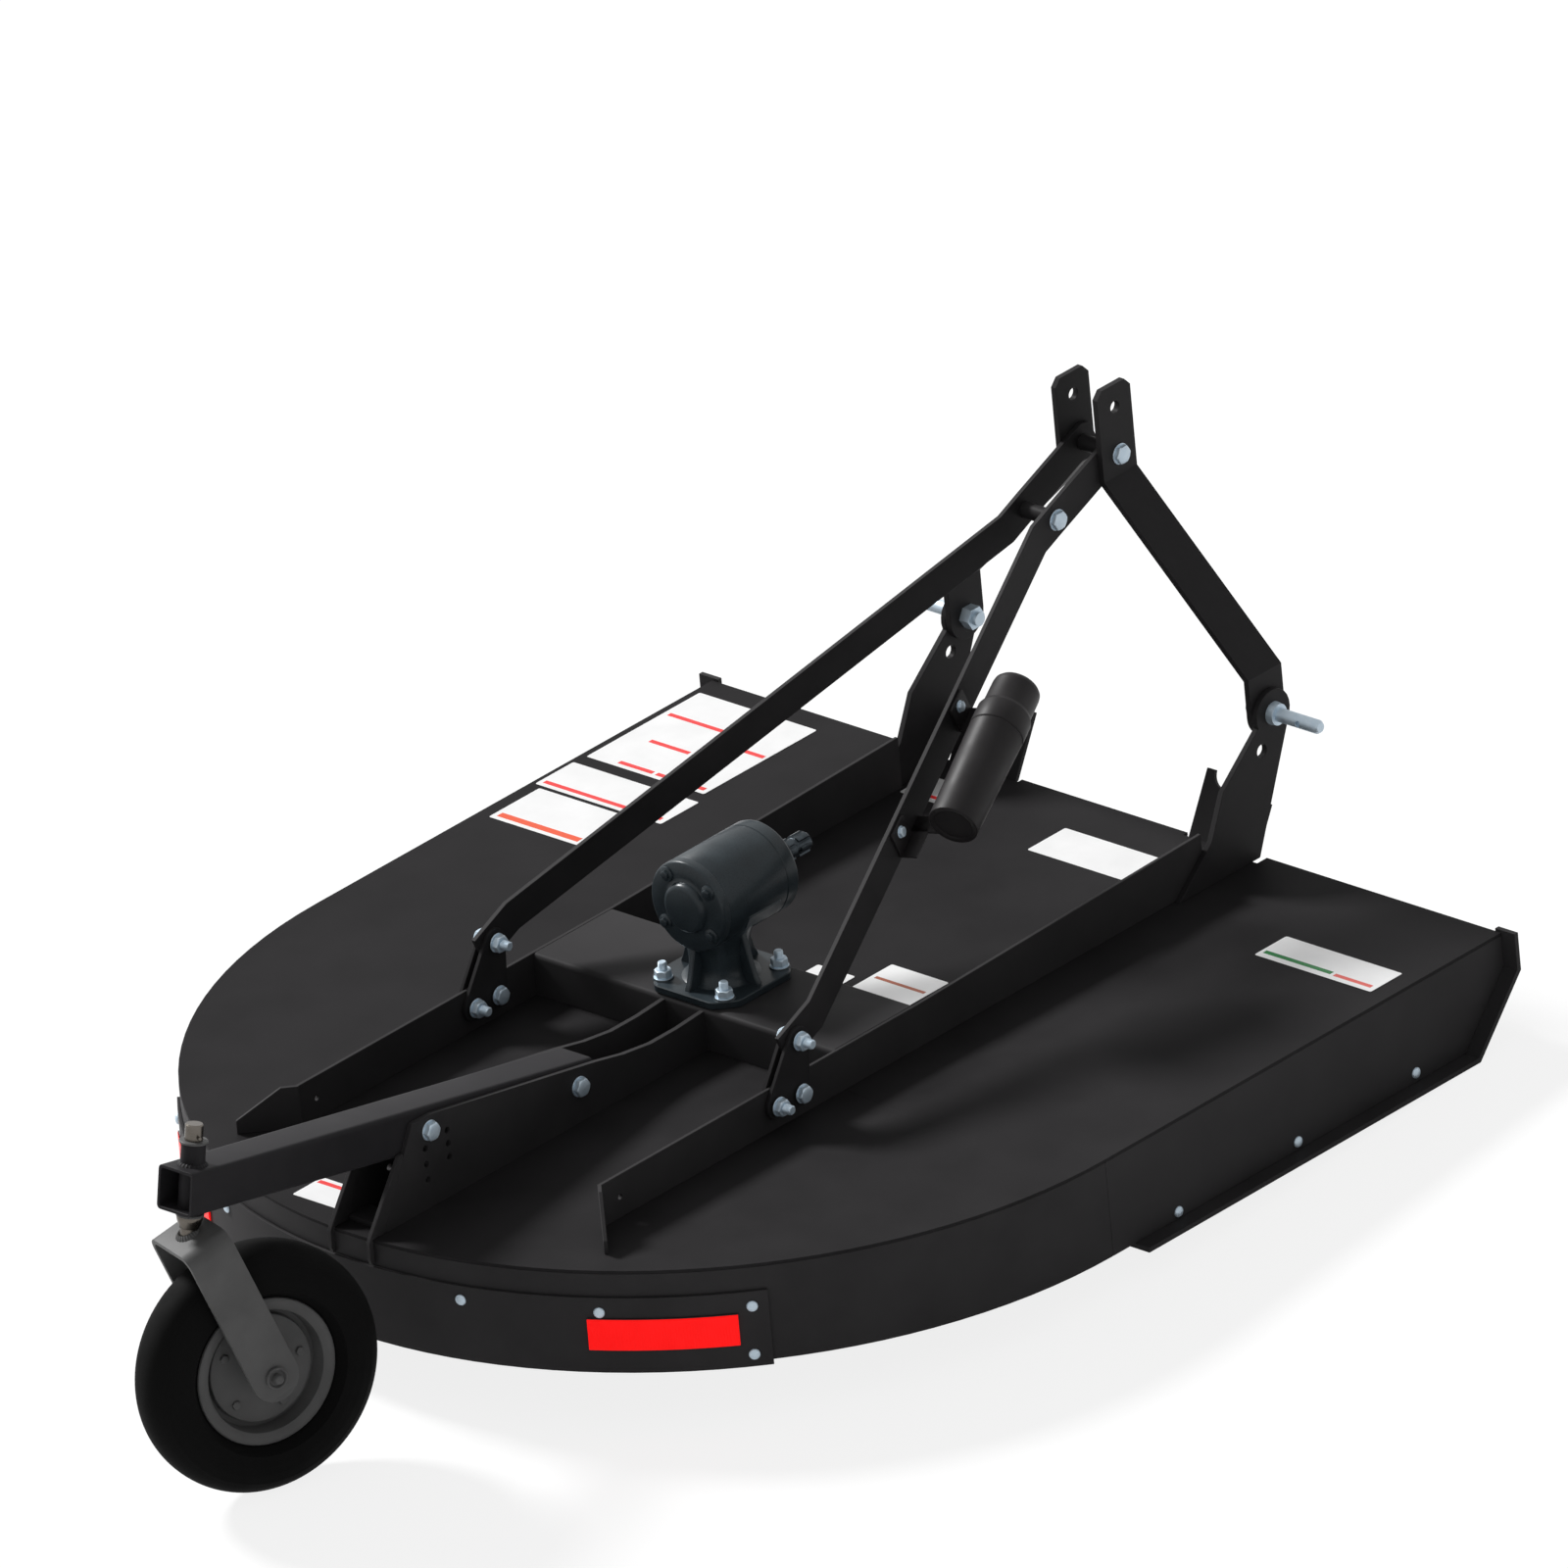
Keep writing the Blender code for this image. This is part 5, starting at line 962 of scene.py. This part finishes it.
@dataclass
class Hitch:
    """Uprights, lower pins, mast bars, braces, brackets and their bolts."""

    plates: tuple[str, ...] = (
        "upright_left", "upright_right", "upright_stay_left", "upright_stay_right",
        "mast_bar_left", "mast_bar_right", "brace_left", "brace_right", "bracket_left_outer",
        "bracket_left_inner", "bracket_right_outer", "bracket_right_inner")

    def build(self) -> None:
        """Build the plates, the through bolts with spacers, and the bracket bolts."""
        for node in self.plates:
            soften(node, BAR_COAT)
        for node in ("hitch_pin_left", "hitch_pin_right"):
            soften(node, ZINC, edge=0.0015)
        self.build_mast_bolt("mast_bolt_upper", MAST_UPPER, 0.0473)
        self.build_mast_bolt("mast_bolt_lower", MAST_LOWER, 0.037)
        self.build_bracket_bolts()

    def build_mast_bolt(self, node: str, place: Point, face: float) -> None:
        """One through bolt with its black spacer tube between the braces."""
        bolt = Bolt(0.008, 0.0134, 0.0078, 0.0018)
        at = shift(0, *place)
        make_piece(f"{node}_zinc", bolt.across(face, 0.0, 0.006, 0.001), [ZINC], (node,), at=at)
        line = mirrored(mm((8.2, -28.4), (12, -28.4), (12.8, -27.6)))
        make_piece(f"{node}_spacer", turned(line, 40, ring=True), [BAR_COAT], at=at @ TO_X)

    def build_bracket_bolts(self) -> None:
        """Three bolts in each bracket, two with their nuts on the right and one on the left."""
        bolt = Bolt(0.0078, 0.0122, 0.0088, 0.001)
        reach, long_tip, short_tip = 0.0136, 0.0145, 0.0105
        made = []
        for side in (-1, 1):
            for place, tips in ((BRACE_FOOT, (long_tip, 0.0)), ((-1.092, 0.041), (long_tip, 0.0)),
                                ((-1.04, 0.041), (0.0, short_tip))):
                made.append(bolt.across(reach, *tips).placed(shift(side * RAIL_X, *place)))
        make_piece("bracket_bolts", joined(*made), [ZINC])


@dataclass
class Canister:
    """Screw-capped document tube on the right brace."""

    brace_x: float = 0.0327    # X of the brace's upper, straight part
    bend: float = 0.045        # its end, as a share of the way from mast bolt to kink
    kink: float = -0.985       # Y of the brace's lower kink
    along: float = 0.363       # place of the upper screw, as a share of the splayed run
    face: float = 0.0043       # outer face of the brace
    out: float = 0.084         # distance of the tube's axis
    seam: float = -0.0445      # height of the seam between tube and cap
    low: float = -0.2315       # height of the tube's foot
    spacing: float = 0.257     # distance between the screws

    def frame(self) -> Array:
        """Frame on the brace at the upper screw: X outboard, Z up the brace."""
        top, foot = np.array(MAST_LOWER), np.array(BRACE_FOOT)
        kink = top + (foot - top) * ((self.kink - top[0]) / (foot[0] - top[0]))
        bend = top + (kink - top) * self.bend
        run = np.array([RAIL_X - self.brace_x, *(kink - bend)])
        down = unit(run)
        side = unit(np.array([1.0, 0, 0]) - down * down[0])
        place = np.eye(4)
        place[:3, 0], place[:3, 1], place[:3, 2] = side, np.cross(side, down), -down
        place[:3, 3] = np.array([self.brace_x, *bend]) + run * self.along
        return place

    def build(self) -> None:
        """Tube with its foot bracket, cap with its upper bracket, and the screws."""
        place, line = self.frame(), shift(self.out)
        tube = np.vstack([
            mm((0, 3), (30, 3), (33.5, 0.5), (37.5, 0), (39, 1.2), (39.5, 4), (39.8, 30),
               base=self.low),
            mm((42, -40), (42.7, -3), (43, -1.6), (42.4, -0.3), (0, -0.3), base=self.seam)])
        foot = [self.tab(-self.spacing),
                self.web(self.low + 0.001, self.low + 0.034, self.out - 0.03),
                self.web(-self.spacing - 0.024, self.low + 0.031, 0.03)]
        make_piece("document_tube", joined(turned(tube, 64).placed(line), *foot), [PLASTIC],
                   ("canister_body",), at=place)
        cap = mm((0, 0.3), (42.2, 0.3), (43, 1.4), (43.3, 4), (43, 36), (41.8, 39.2), (39.5, 43),
                 (38.5, 46), (37.9, 86), (36.9, 92), (33.9, 96), (29.5, 97.8), (26.5, 98),
                 (0, 97.5), base=self.seam)
        upper = (self.tab(0.0), self.web(-0.024, 0.024, self.out - 0.01))
        make_piece("document_tube_cap", joined(turned(cap, 64).placed(line), *upper), [PLASTIC],
                   ("canister_cap",), at=place)
        screw = joined(washer(0.0095, 0.002, 0.0, 0.0012),
                       nut(0.0072, 0.0052, 0.0006, False).placed(shift(z=0.001)))
        screws = [screw.placed(shift(self.face + 0.004, -0.01, z) @ TO_X)
                  for z in (0.0, -self.spacing)]
        make_piece("document_tube_screws", joined(*screws), [ZINC], at=place)

    def tab(self, middle: float) -> Shell:
        """Flat tab on the brace's face."""
        half = 0.024
        outline = rounded(oblong(-half, middle - half, half, middle + half), 0.006, 4)
        return plate(outline, self.face, self.face + 0.004, 0.0008).placed(PLATE_YZ)

    def web(self, low: float, high: float, length: float) -> Shell:
        """Web square to the tab, out to the tube."""
        edge = 0.0008
        outline = rounded(oblong(self.face, 0.018, self.face + length, 0.022), 2 * edge, 2)
        return plate(outline, low, high, edge)


@dataclass
class TailArm:
    """Square tube of the tail arm with the caster's sleeve, and its two bolts."""

    half: float = 0.035
    wall: float = 0.005
    front: float = (-1.195 - ARM_PIVOT[0]) / math.cos(ARM_SLOPE)
    rear: float = (-2.067 - ARM_PIVOT[0]) / math.cos(ARM_SLOPE)
    height_bolt: float = -1.56

    def build(self) -> None:
        """Tube, sleeve with its welds, and the pivot and height bolts."""
        half, core, edge = self.half, self.half - self.wall, 0.0006
        outer = rounded(oblong(-half, -half, half, half), 0.0085, 6)
        inner = rounded(oblong(-core, -core, core, core), 0.0045, 6)
        rows = ((outer, self.front - edge), (outer, self.rear + edge),
                (inset(outer, edge), self.rear), (inset(inner, -edge), self.rear),
                (inner, self.rear + edge), (inner, self.front - edge),
                (inset(inner, -edge), self.front), (inset(outer, edge), self.front))
        tube = grid(np.stack([np.column_stack([line[:, 0], np.full(len(line), y), line[:, 1]])
                              for line, y in rows]), ring=True)
        sleeve = turned(mm((14.4, -41), (18, -41), (19, -40), (19, 68), (18, 69), (14.4, 69)),
                        ring=True)
        fittings = joined(sleeve, bead(0.0188, 0.0348, 0.005), bead(0.0188, -0.0348, -0.0042))
        make_piece("tail_arm_tube", joined(tube, fittings.placed(shift(0, CASTER_ALONG, 0))),
                   [ARM_COAT], ("tail_arm",), at=ARM)
        bolt = Bolt(0.008, 0.013, 0.0092, 0.0014)
        rise = ARM_RISE * (ARM_PIVOT[0] - self.height_bolt)
        for node, place in (("tail_bolt_pivot", ARM_PIVOT),
                            ("tail_bolt_height", (self.height_bolt, ARM_PIVOT[1] + rise))):
            make_piece(f"{node}_zinc", bolt.across(0.0436, 0.0, 0.008), [ZINC], (node,),
                       at=shift(0, *place))


@dataclass
class CasterWheel:
    """Fork, spindle, axle, rim and tyre of the tail wheel."""

    top_drop: float = 0.078    # drop of the fork's top
    half: float = 0.039        # half of the fork's width
    inner: float = 0.11       # gap between its legs
    thick: float = 0.009
    bend: float = 0.02
    tyre_radius: float = 0.1971
    tyre_width: float = 0.096
    lip: float = 0.116         # radius of the rim

    def build(self) -> None:
        """Build the parts from the spindle down to the tyre."""
        self.build_fork()
        self.build_spindle()
        self.build_axle()
        self.build_rim()
        self.build_tyre()

    def build_fork(self) -> None:
        """Fork bent from one flat bar with round ends.

        A rectangular section with broken corners is carried along the bar's middle line; its
        width follows a half circle, half * cos(angle), past the axle at each end.
        """
        fall = WHEEL_DROP - self.top_drop
        leg = math.hypot(WHEEL_TRAIL, fall)
        middle = (self.inner + self.thick) / 2
        swing = np.linspace(QUARTER, 0, 14)
        end = np.stack([0 * swing - middle, -leg - self.half * np.sin(swing)], 1)
        rise = np.stack([np.full(6, -middle), np.linspace(-leg, -self.bend, 7)[1:]], 1)
        angle = np.linspace(math.pi, QUARTER, 11)[1:]
        turn = self.bend * np.stack([np.cos(angle) + 1, np.sin(angle) - 1], 1) - (middle, 0)
        left = np.vstack([end, rise, turn, [(-0.012, 0)]])
        line = mirrored(left, (-1, 1))
        path = np.stack([line[:, 0], 0 * line[:, 0], line[:, 1]], 1)
        width = np.concatenate([np.cos(swing), np.ones(len(left) - len(swing))])
        section = rounded(oblong(-self.half, -self.thick / 2, self.half, self.thick / 2), 0.0012, 2)
        strap = carried(section, path, np.array([0.0, 1.0, 0.0]),
                        np.concatenate([width, width[::-1]]).clip(1e-3))
        make_piece("fork_strap", joined(strap, bead(0.0138, self.thick / 2, 0.006)),
                   [GREY_ENAMEL], ("caster_fork",), "caster",
                   shift(z=-self.top_drop) @ spin("X", math.atan2(WHEEL_TRAIL, fall)), 40.0)

    def build_spindle(self) -> None:
        """Ground spindle with its washers, and the roll pin through its top."""
        spindle = turned(mm((0, -82), (13.8, -82), (14, -80), (14, 97), (12.5, 99), (0, 99)))
        pin = turned(mirrored(mm((0, -20.5), (2.2, -20.5), (2.8, -19.8))), 16)
        collar = turned(mm((13.8, -45.5), (20, -45.5), (20.4, -47.5), (19.5, -52), (15, -64),
                           (13.8, -64.5)), 40, ring=True)
        low = washer(0.0215, 0.0141, -0.0453, -0.0413)
        high = washer(0.0225, 0.0141, 0.0693, 0.0733)
        shells = joined(spindle, pin.placed(shift(z=0.08) @ TO_X), collar, low.marked(1),
                        high.marked(1))
        make_piece("caster_spindle", shells, [GROUND_STEEL, GREY_ENAMEL], body="caster")

    def build_axle(self) -> None:
        """Axle through the fork: head on the left, cupped washer and round stub on the right."""
        bolt = Bolt(0.0094, 0.014, 0.0085, 0.0012)
        face = self.inner / 2 + self.thick + SEAT
        cup = turned(mm((6, 0), (16.8, 0), (17.4, 1.2), (17.2, 5), (16, 6.2), (14.2, 5.6),
                        (12.2, 2), (6, 1.6)), 40, ring=True)
        stub = turned(mm((0, 0), (7.4, 0), (7.4, 10.5), (6.6, 13), (4.8, 14.4), (2.4, 15),
                         (0, 15.1)), 32)
        shells = joined(joined(cup, stub).placed(shift(face) @ TO_X),
                        bolt.end().placed(shift(-face) @ TO_LEFT),
                        rod(bolt.radius, -face, face, 32).placed(TO_X))
        make_piece("axle_bolt", shells, [GREY_ENAMEL], ("wheel_axle",), "caster",
                   shift(0, WHEEL_TRAIL, -WHEEL_DROP))

    def build_rim(self) -> None:
        """Two pressed discs bolted together: lips, wells, flat discs and the hub tube."""
        side = mm((9.9, 52), (22.5, 52), (24, 50.8), (24, 22), (26.2, 19.6), (30, 19), (34, 18.8),
                  (80, 15), (83.8, 15), (85, 13.8), (85.6, 5), (87, 3.6), (94, 3.6), (95.6, 6),
                  (96.6, 29.6), (97.4, 31.8), (99, 32.6), (105, 35.2), (108.5, 36), (112, 36),
                  (114.8, 35), (116, 33), (115.4, 31), (109, 30.5), (102.5, 29.8), (101.8, 27))
        rim = turned(mirrored(side), 96, ring=True).placed(TO_X)
        head = nut(0.0062, 0.0056, 0.0006, False)
        bolts = [head.placed(shift(x, *spot(0.067, TURN * (k + 0.25) / 5)) @ turn)
                 for k in range(5) for x, turn in ((0.0146, TO_X), (-0.0146, TO_LEFT))]
        valve = turned(mm((0, 0), (4.8, 0), (4, 10), (3.4, 12), (3.4, 22), (0, 22)), 20)
        valve = valve.placed(shift(0.024, *spot(0.09, 2.2)) @ TO_X).marked(1)
        make_piece("split_rim", joined(rim, *bolts, valve), [GREY_ENAMEL, RUBBER],
                   ("wheel_rim",), "tail_wheel")

    def build_tyre(self) -> None:
        """Tyre as one closed ring.

        Its section is a superellipse, height * sin(a)^0.62 over width * cos(a)^0.85, with low
        moulded ribs on the shoulders: triangles over the angle a.
        """
        base = self.lip + 0.003
        a = np.linspace(0.04, math.pi - 0.04, 64)
        x = -np.cos(a)
        rib = np.zeros_like(a)
        for middle, wide, tall in ((0.62, 0.05, 0.0008), (0.36, 0.035, 0.0006),
                                   (0.2, 0.03, 0.0008)):
            for centre in (middle, math.pi - middle):
                rib += tall * np.clip(1 - np.abs(a - centre) / wide, 0, 1)
        radius = base + (self.tyre_radius - base) * np.sin(a) ** 0.62 + rib * np.sin(a)
        width = self.tyre_width / 2 * np.sign(x) * np.abs(x) ** 0.85 + rib * x
        seat = 0.031 - SEAT      # inner face of the rim's lip
        inner = mirrored(np.array([(base - 0.001, seat), (0.111, seat), (0.1022, seat - 0.003)]))
        line = np.vstack([np.stack([radius, width], 1), inner])
        make_piece("moulded_tyre", turned(line, 128, ring=True), [RUBBER], ("tyre",),
                   "tail_wheel", TO_X, 50.0)


@dataclass
class Rotor:
    """Blade carrier with its pivots, and the two blades."""

    pivot: float = 0.245

    def build(self) -> None:
        """Turned pan and hub, pivot bolts with nuts, and the blades."""
        pan = turned(mm((0, -106), (46, -106), (50, -103), (50, -94), (54, -92), (271, -92),
                        (276, -92.6), (299, -108.5), (300, -109.5), (300, -101), (298.5, -99.5),
                        (277, -84), (271, -83.5), (56, -84), (50, -78), (49, -48), (47, -46),
                        (22.5, -46), (22, -44), (22, 1), (0, 1)), 96)
        head = turned(mm((0, -137.8), (21, -137.8), (23.6, -136), (24, -133), (24, -129),
                         (23.2, -128.1), (0, -128.1)), 40)
        bolt = joined(rod(0.014, -0.132, -0.083, 32), head,
                      nut(0.02, 0.011).placed(shift(z=-0.0838)),
                      threaded(0.0125, 0.012).placed(shift(z=-0.08)))
        make_piece("blade_pan", pan, [BAR_COAT], ("blade_carrier",), "rotor", smooth=36.0)
        bolts = [bolt.placed(shift(x)) for x in (-self.pivot, self.pivot)]
        make_piece("blade_pivots", joined(*bolts), [ZINC], body="rotor")
        for name in ("blade_a", "blade_b"):
            soften(name, BLADE, name, 0.0012)


@dataclass
class Studio:
    """Pale floor, sun, sky and the camera at the photograph's angle."""

    lens: float = 1600.0
    distance: float = 104.74
    aim: tuple[float, float, float] = (0.00318977, 0.34704716, 0.535188)
    right: tuple[float, float, float] = (0.74232, 0.65853, -0.12365)
    down: tuple[float, float, float] = (0.23809, -0.43175, -0.87)
    sun_from: tuple[float, float, float] = (-0.78, 0.05, 0.62)
    sun_strength: float = 4.05
    sky: float = 0.27
    floor_radius: float = 40.0
    floor_level: float = -0.0005
    floor_glow: float = 0.84    # its own light, for the camera alone
    floor_shade: float = 0.2   # its grey for the camera
    floor_pale: float = 0.8    # its grey for the rays that light things

    def build(self) -> None:
        """Build floor, lights and camera."""
        self.build_floor()
        self.build_sun()
        self.build_world()
        self.build_camera()
        bpy.context.scene.view_settings.view_transform = "Standard"

    def build_floor(self) -> None:
        """A wide pale disc, white to the camera apart from the machine's soft shadow."""
        steps = 96
        mesh = bpy.data.meshes.new("floor")
        ring = around(self.floor_radius, self.floor_level, steps)
        mesh.from_pydata(ring.tolist(), [], [list(range(steps))])
        material = bpy.data.materials.new("pale_floor")
        tree = empty_tree(material)
        seen = self.seen_ray(tree)
        pale = add_node(tree, "MixRGB", {"Color1": (*[self.floor_pale] * 3, 1),
                                                   "Color2": (*[self.floor_shade] * 3, 1)},
                        {"Fac": seen})
        matt = add_node(tree, "BsdfDiffuse", links={"Color": pale.outputs["Color"]})
        lift = add_node(tree, "Math", {"operation": "MULTIPLY"}, {0: seen})
        lift.inputs[1].default_value = self.floor_glow
        glow = add_node(tree, "Emission", links={"Strength": lift.outputs["Value"]})
        lit = add_node(tree, "AddShader",
                       links={0: matt.outputs["BSDF"], 1: glow.outputs["Emission"]})
        under = add_node(tree, "NewGeometry").outputs["Backfacing"]
        clear = add_node(tree, "BsdfTransparent").outputs["BSDF"]
        face = add_node(tree, "MixShader",
                        links={0: under, 1: lit.outputs["Shader"], 2: clear})
        add_node(tree, "OutputMaterial", links={"Surface": face.outputs["Shader"]})
        mesh.materials.append(material)
        new_object("floor", mesh)

    def seen_ray(self, tree: Tree) -> Socket:
        """1 for camera, glossy and transmission rays, and 0 for the rays that light things."""
        rays = add_node(tree, "LightPath").outputs
        seen = rays["Is Camera Ray"]
        for other in ("Is Glossy Ray", "Is Transmission Ray"):
            seen = add_node(tree, "Math", {"operation": "MAXIMUM"},
                            {0: seen, 1: rays[other]}).outputs["Value"]
        return seen

    def build_sun(self) -> None:
        """One soft sun from the front left."""
        light = bpy.data.lights.new("sun", "SUN")
        light.energy = self.sun_strength
        light.angle = math.radians(12)
        x, y, z = self.sun_from
        new_object("sun", light).rotation_euler = (
            math.acos(z / math.sqrt(x * x + y * y + z * z)), 0, math.atan2(y, x) + QUARTER)

    def build_world(self) -> None:
        """White behind everything seen, and a dim even sky for the rays that light things."""
        world = bpy.data.worlds.new("studio")
        bpy.context.scene.world = world
        tree = empty_tree(world)
        level = add_node(tree, "MapRange", {"To Min": self.sky, "To Max": 1.0},
                         {"Value": self.seen_ray(tree)})
        back = add_node(tree, "Background", {"Color": (1, 1, 1, 1)},
                        {"Strength": level.outputs["Result"]})
        add_node(tree, "OutputWorld", links={"Surface": back.outputs["Background"]})

    def build_camera(self) -> None:
        """A long lens, far away, so that parallel edges stay parallel as in the photograph."""
        lens = bpy.data.cameras.new("camera")
        lens.lens = self.lens
        lens.sensor_width = 36.0
        lens.clip_start = 1.0
        lens.clip_end = 400.0
        right = unit(np.array(self.right))
        down = unit(np.array(self.down) - right * np.dot(right, self.down))
        ahead = np.cross(right, down)
        place = np.eye(4)
        place[:3, 0], place[:3, 1], place[:3, 2] = right, -down, -ahead
        place[:3, 3] = np.array(self.aim) - ahead * self.distance
        camera = new_object("camera", lens)
        camera.matrix_world = Matrix(place.tolist())
        bpy.context.scene.camera = camera


def main() -> None:
    """Build the machine and the studio in order."""
    logging.basicConfig(level=logging.INFO, format="%(name)s: %(message)s")
    for part in (Deck(), Gearbox(), Hitch(), Canister(), TailArm(), CasterWheel(), Rotor(),
                 Studio()):
        log.info("building %s", type(part).__name__)
        part.build()


if __name__ == "__main__":
    main()
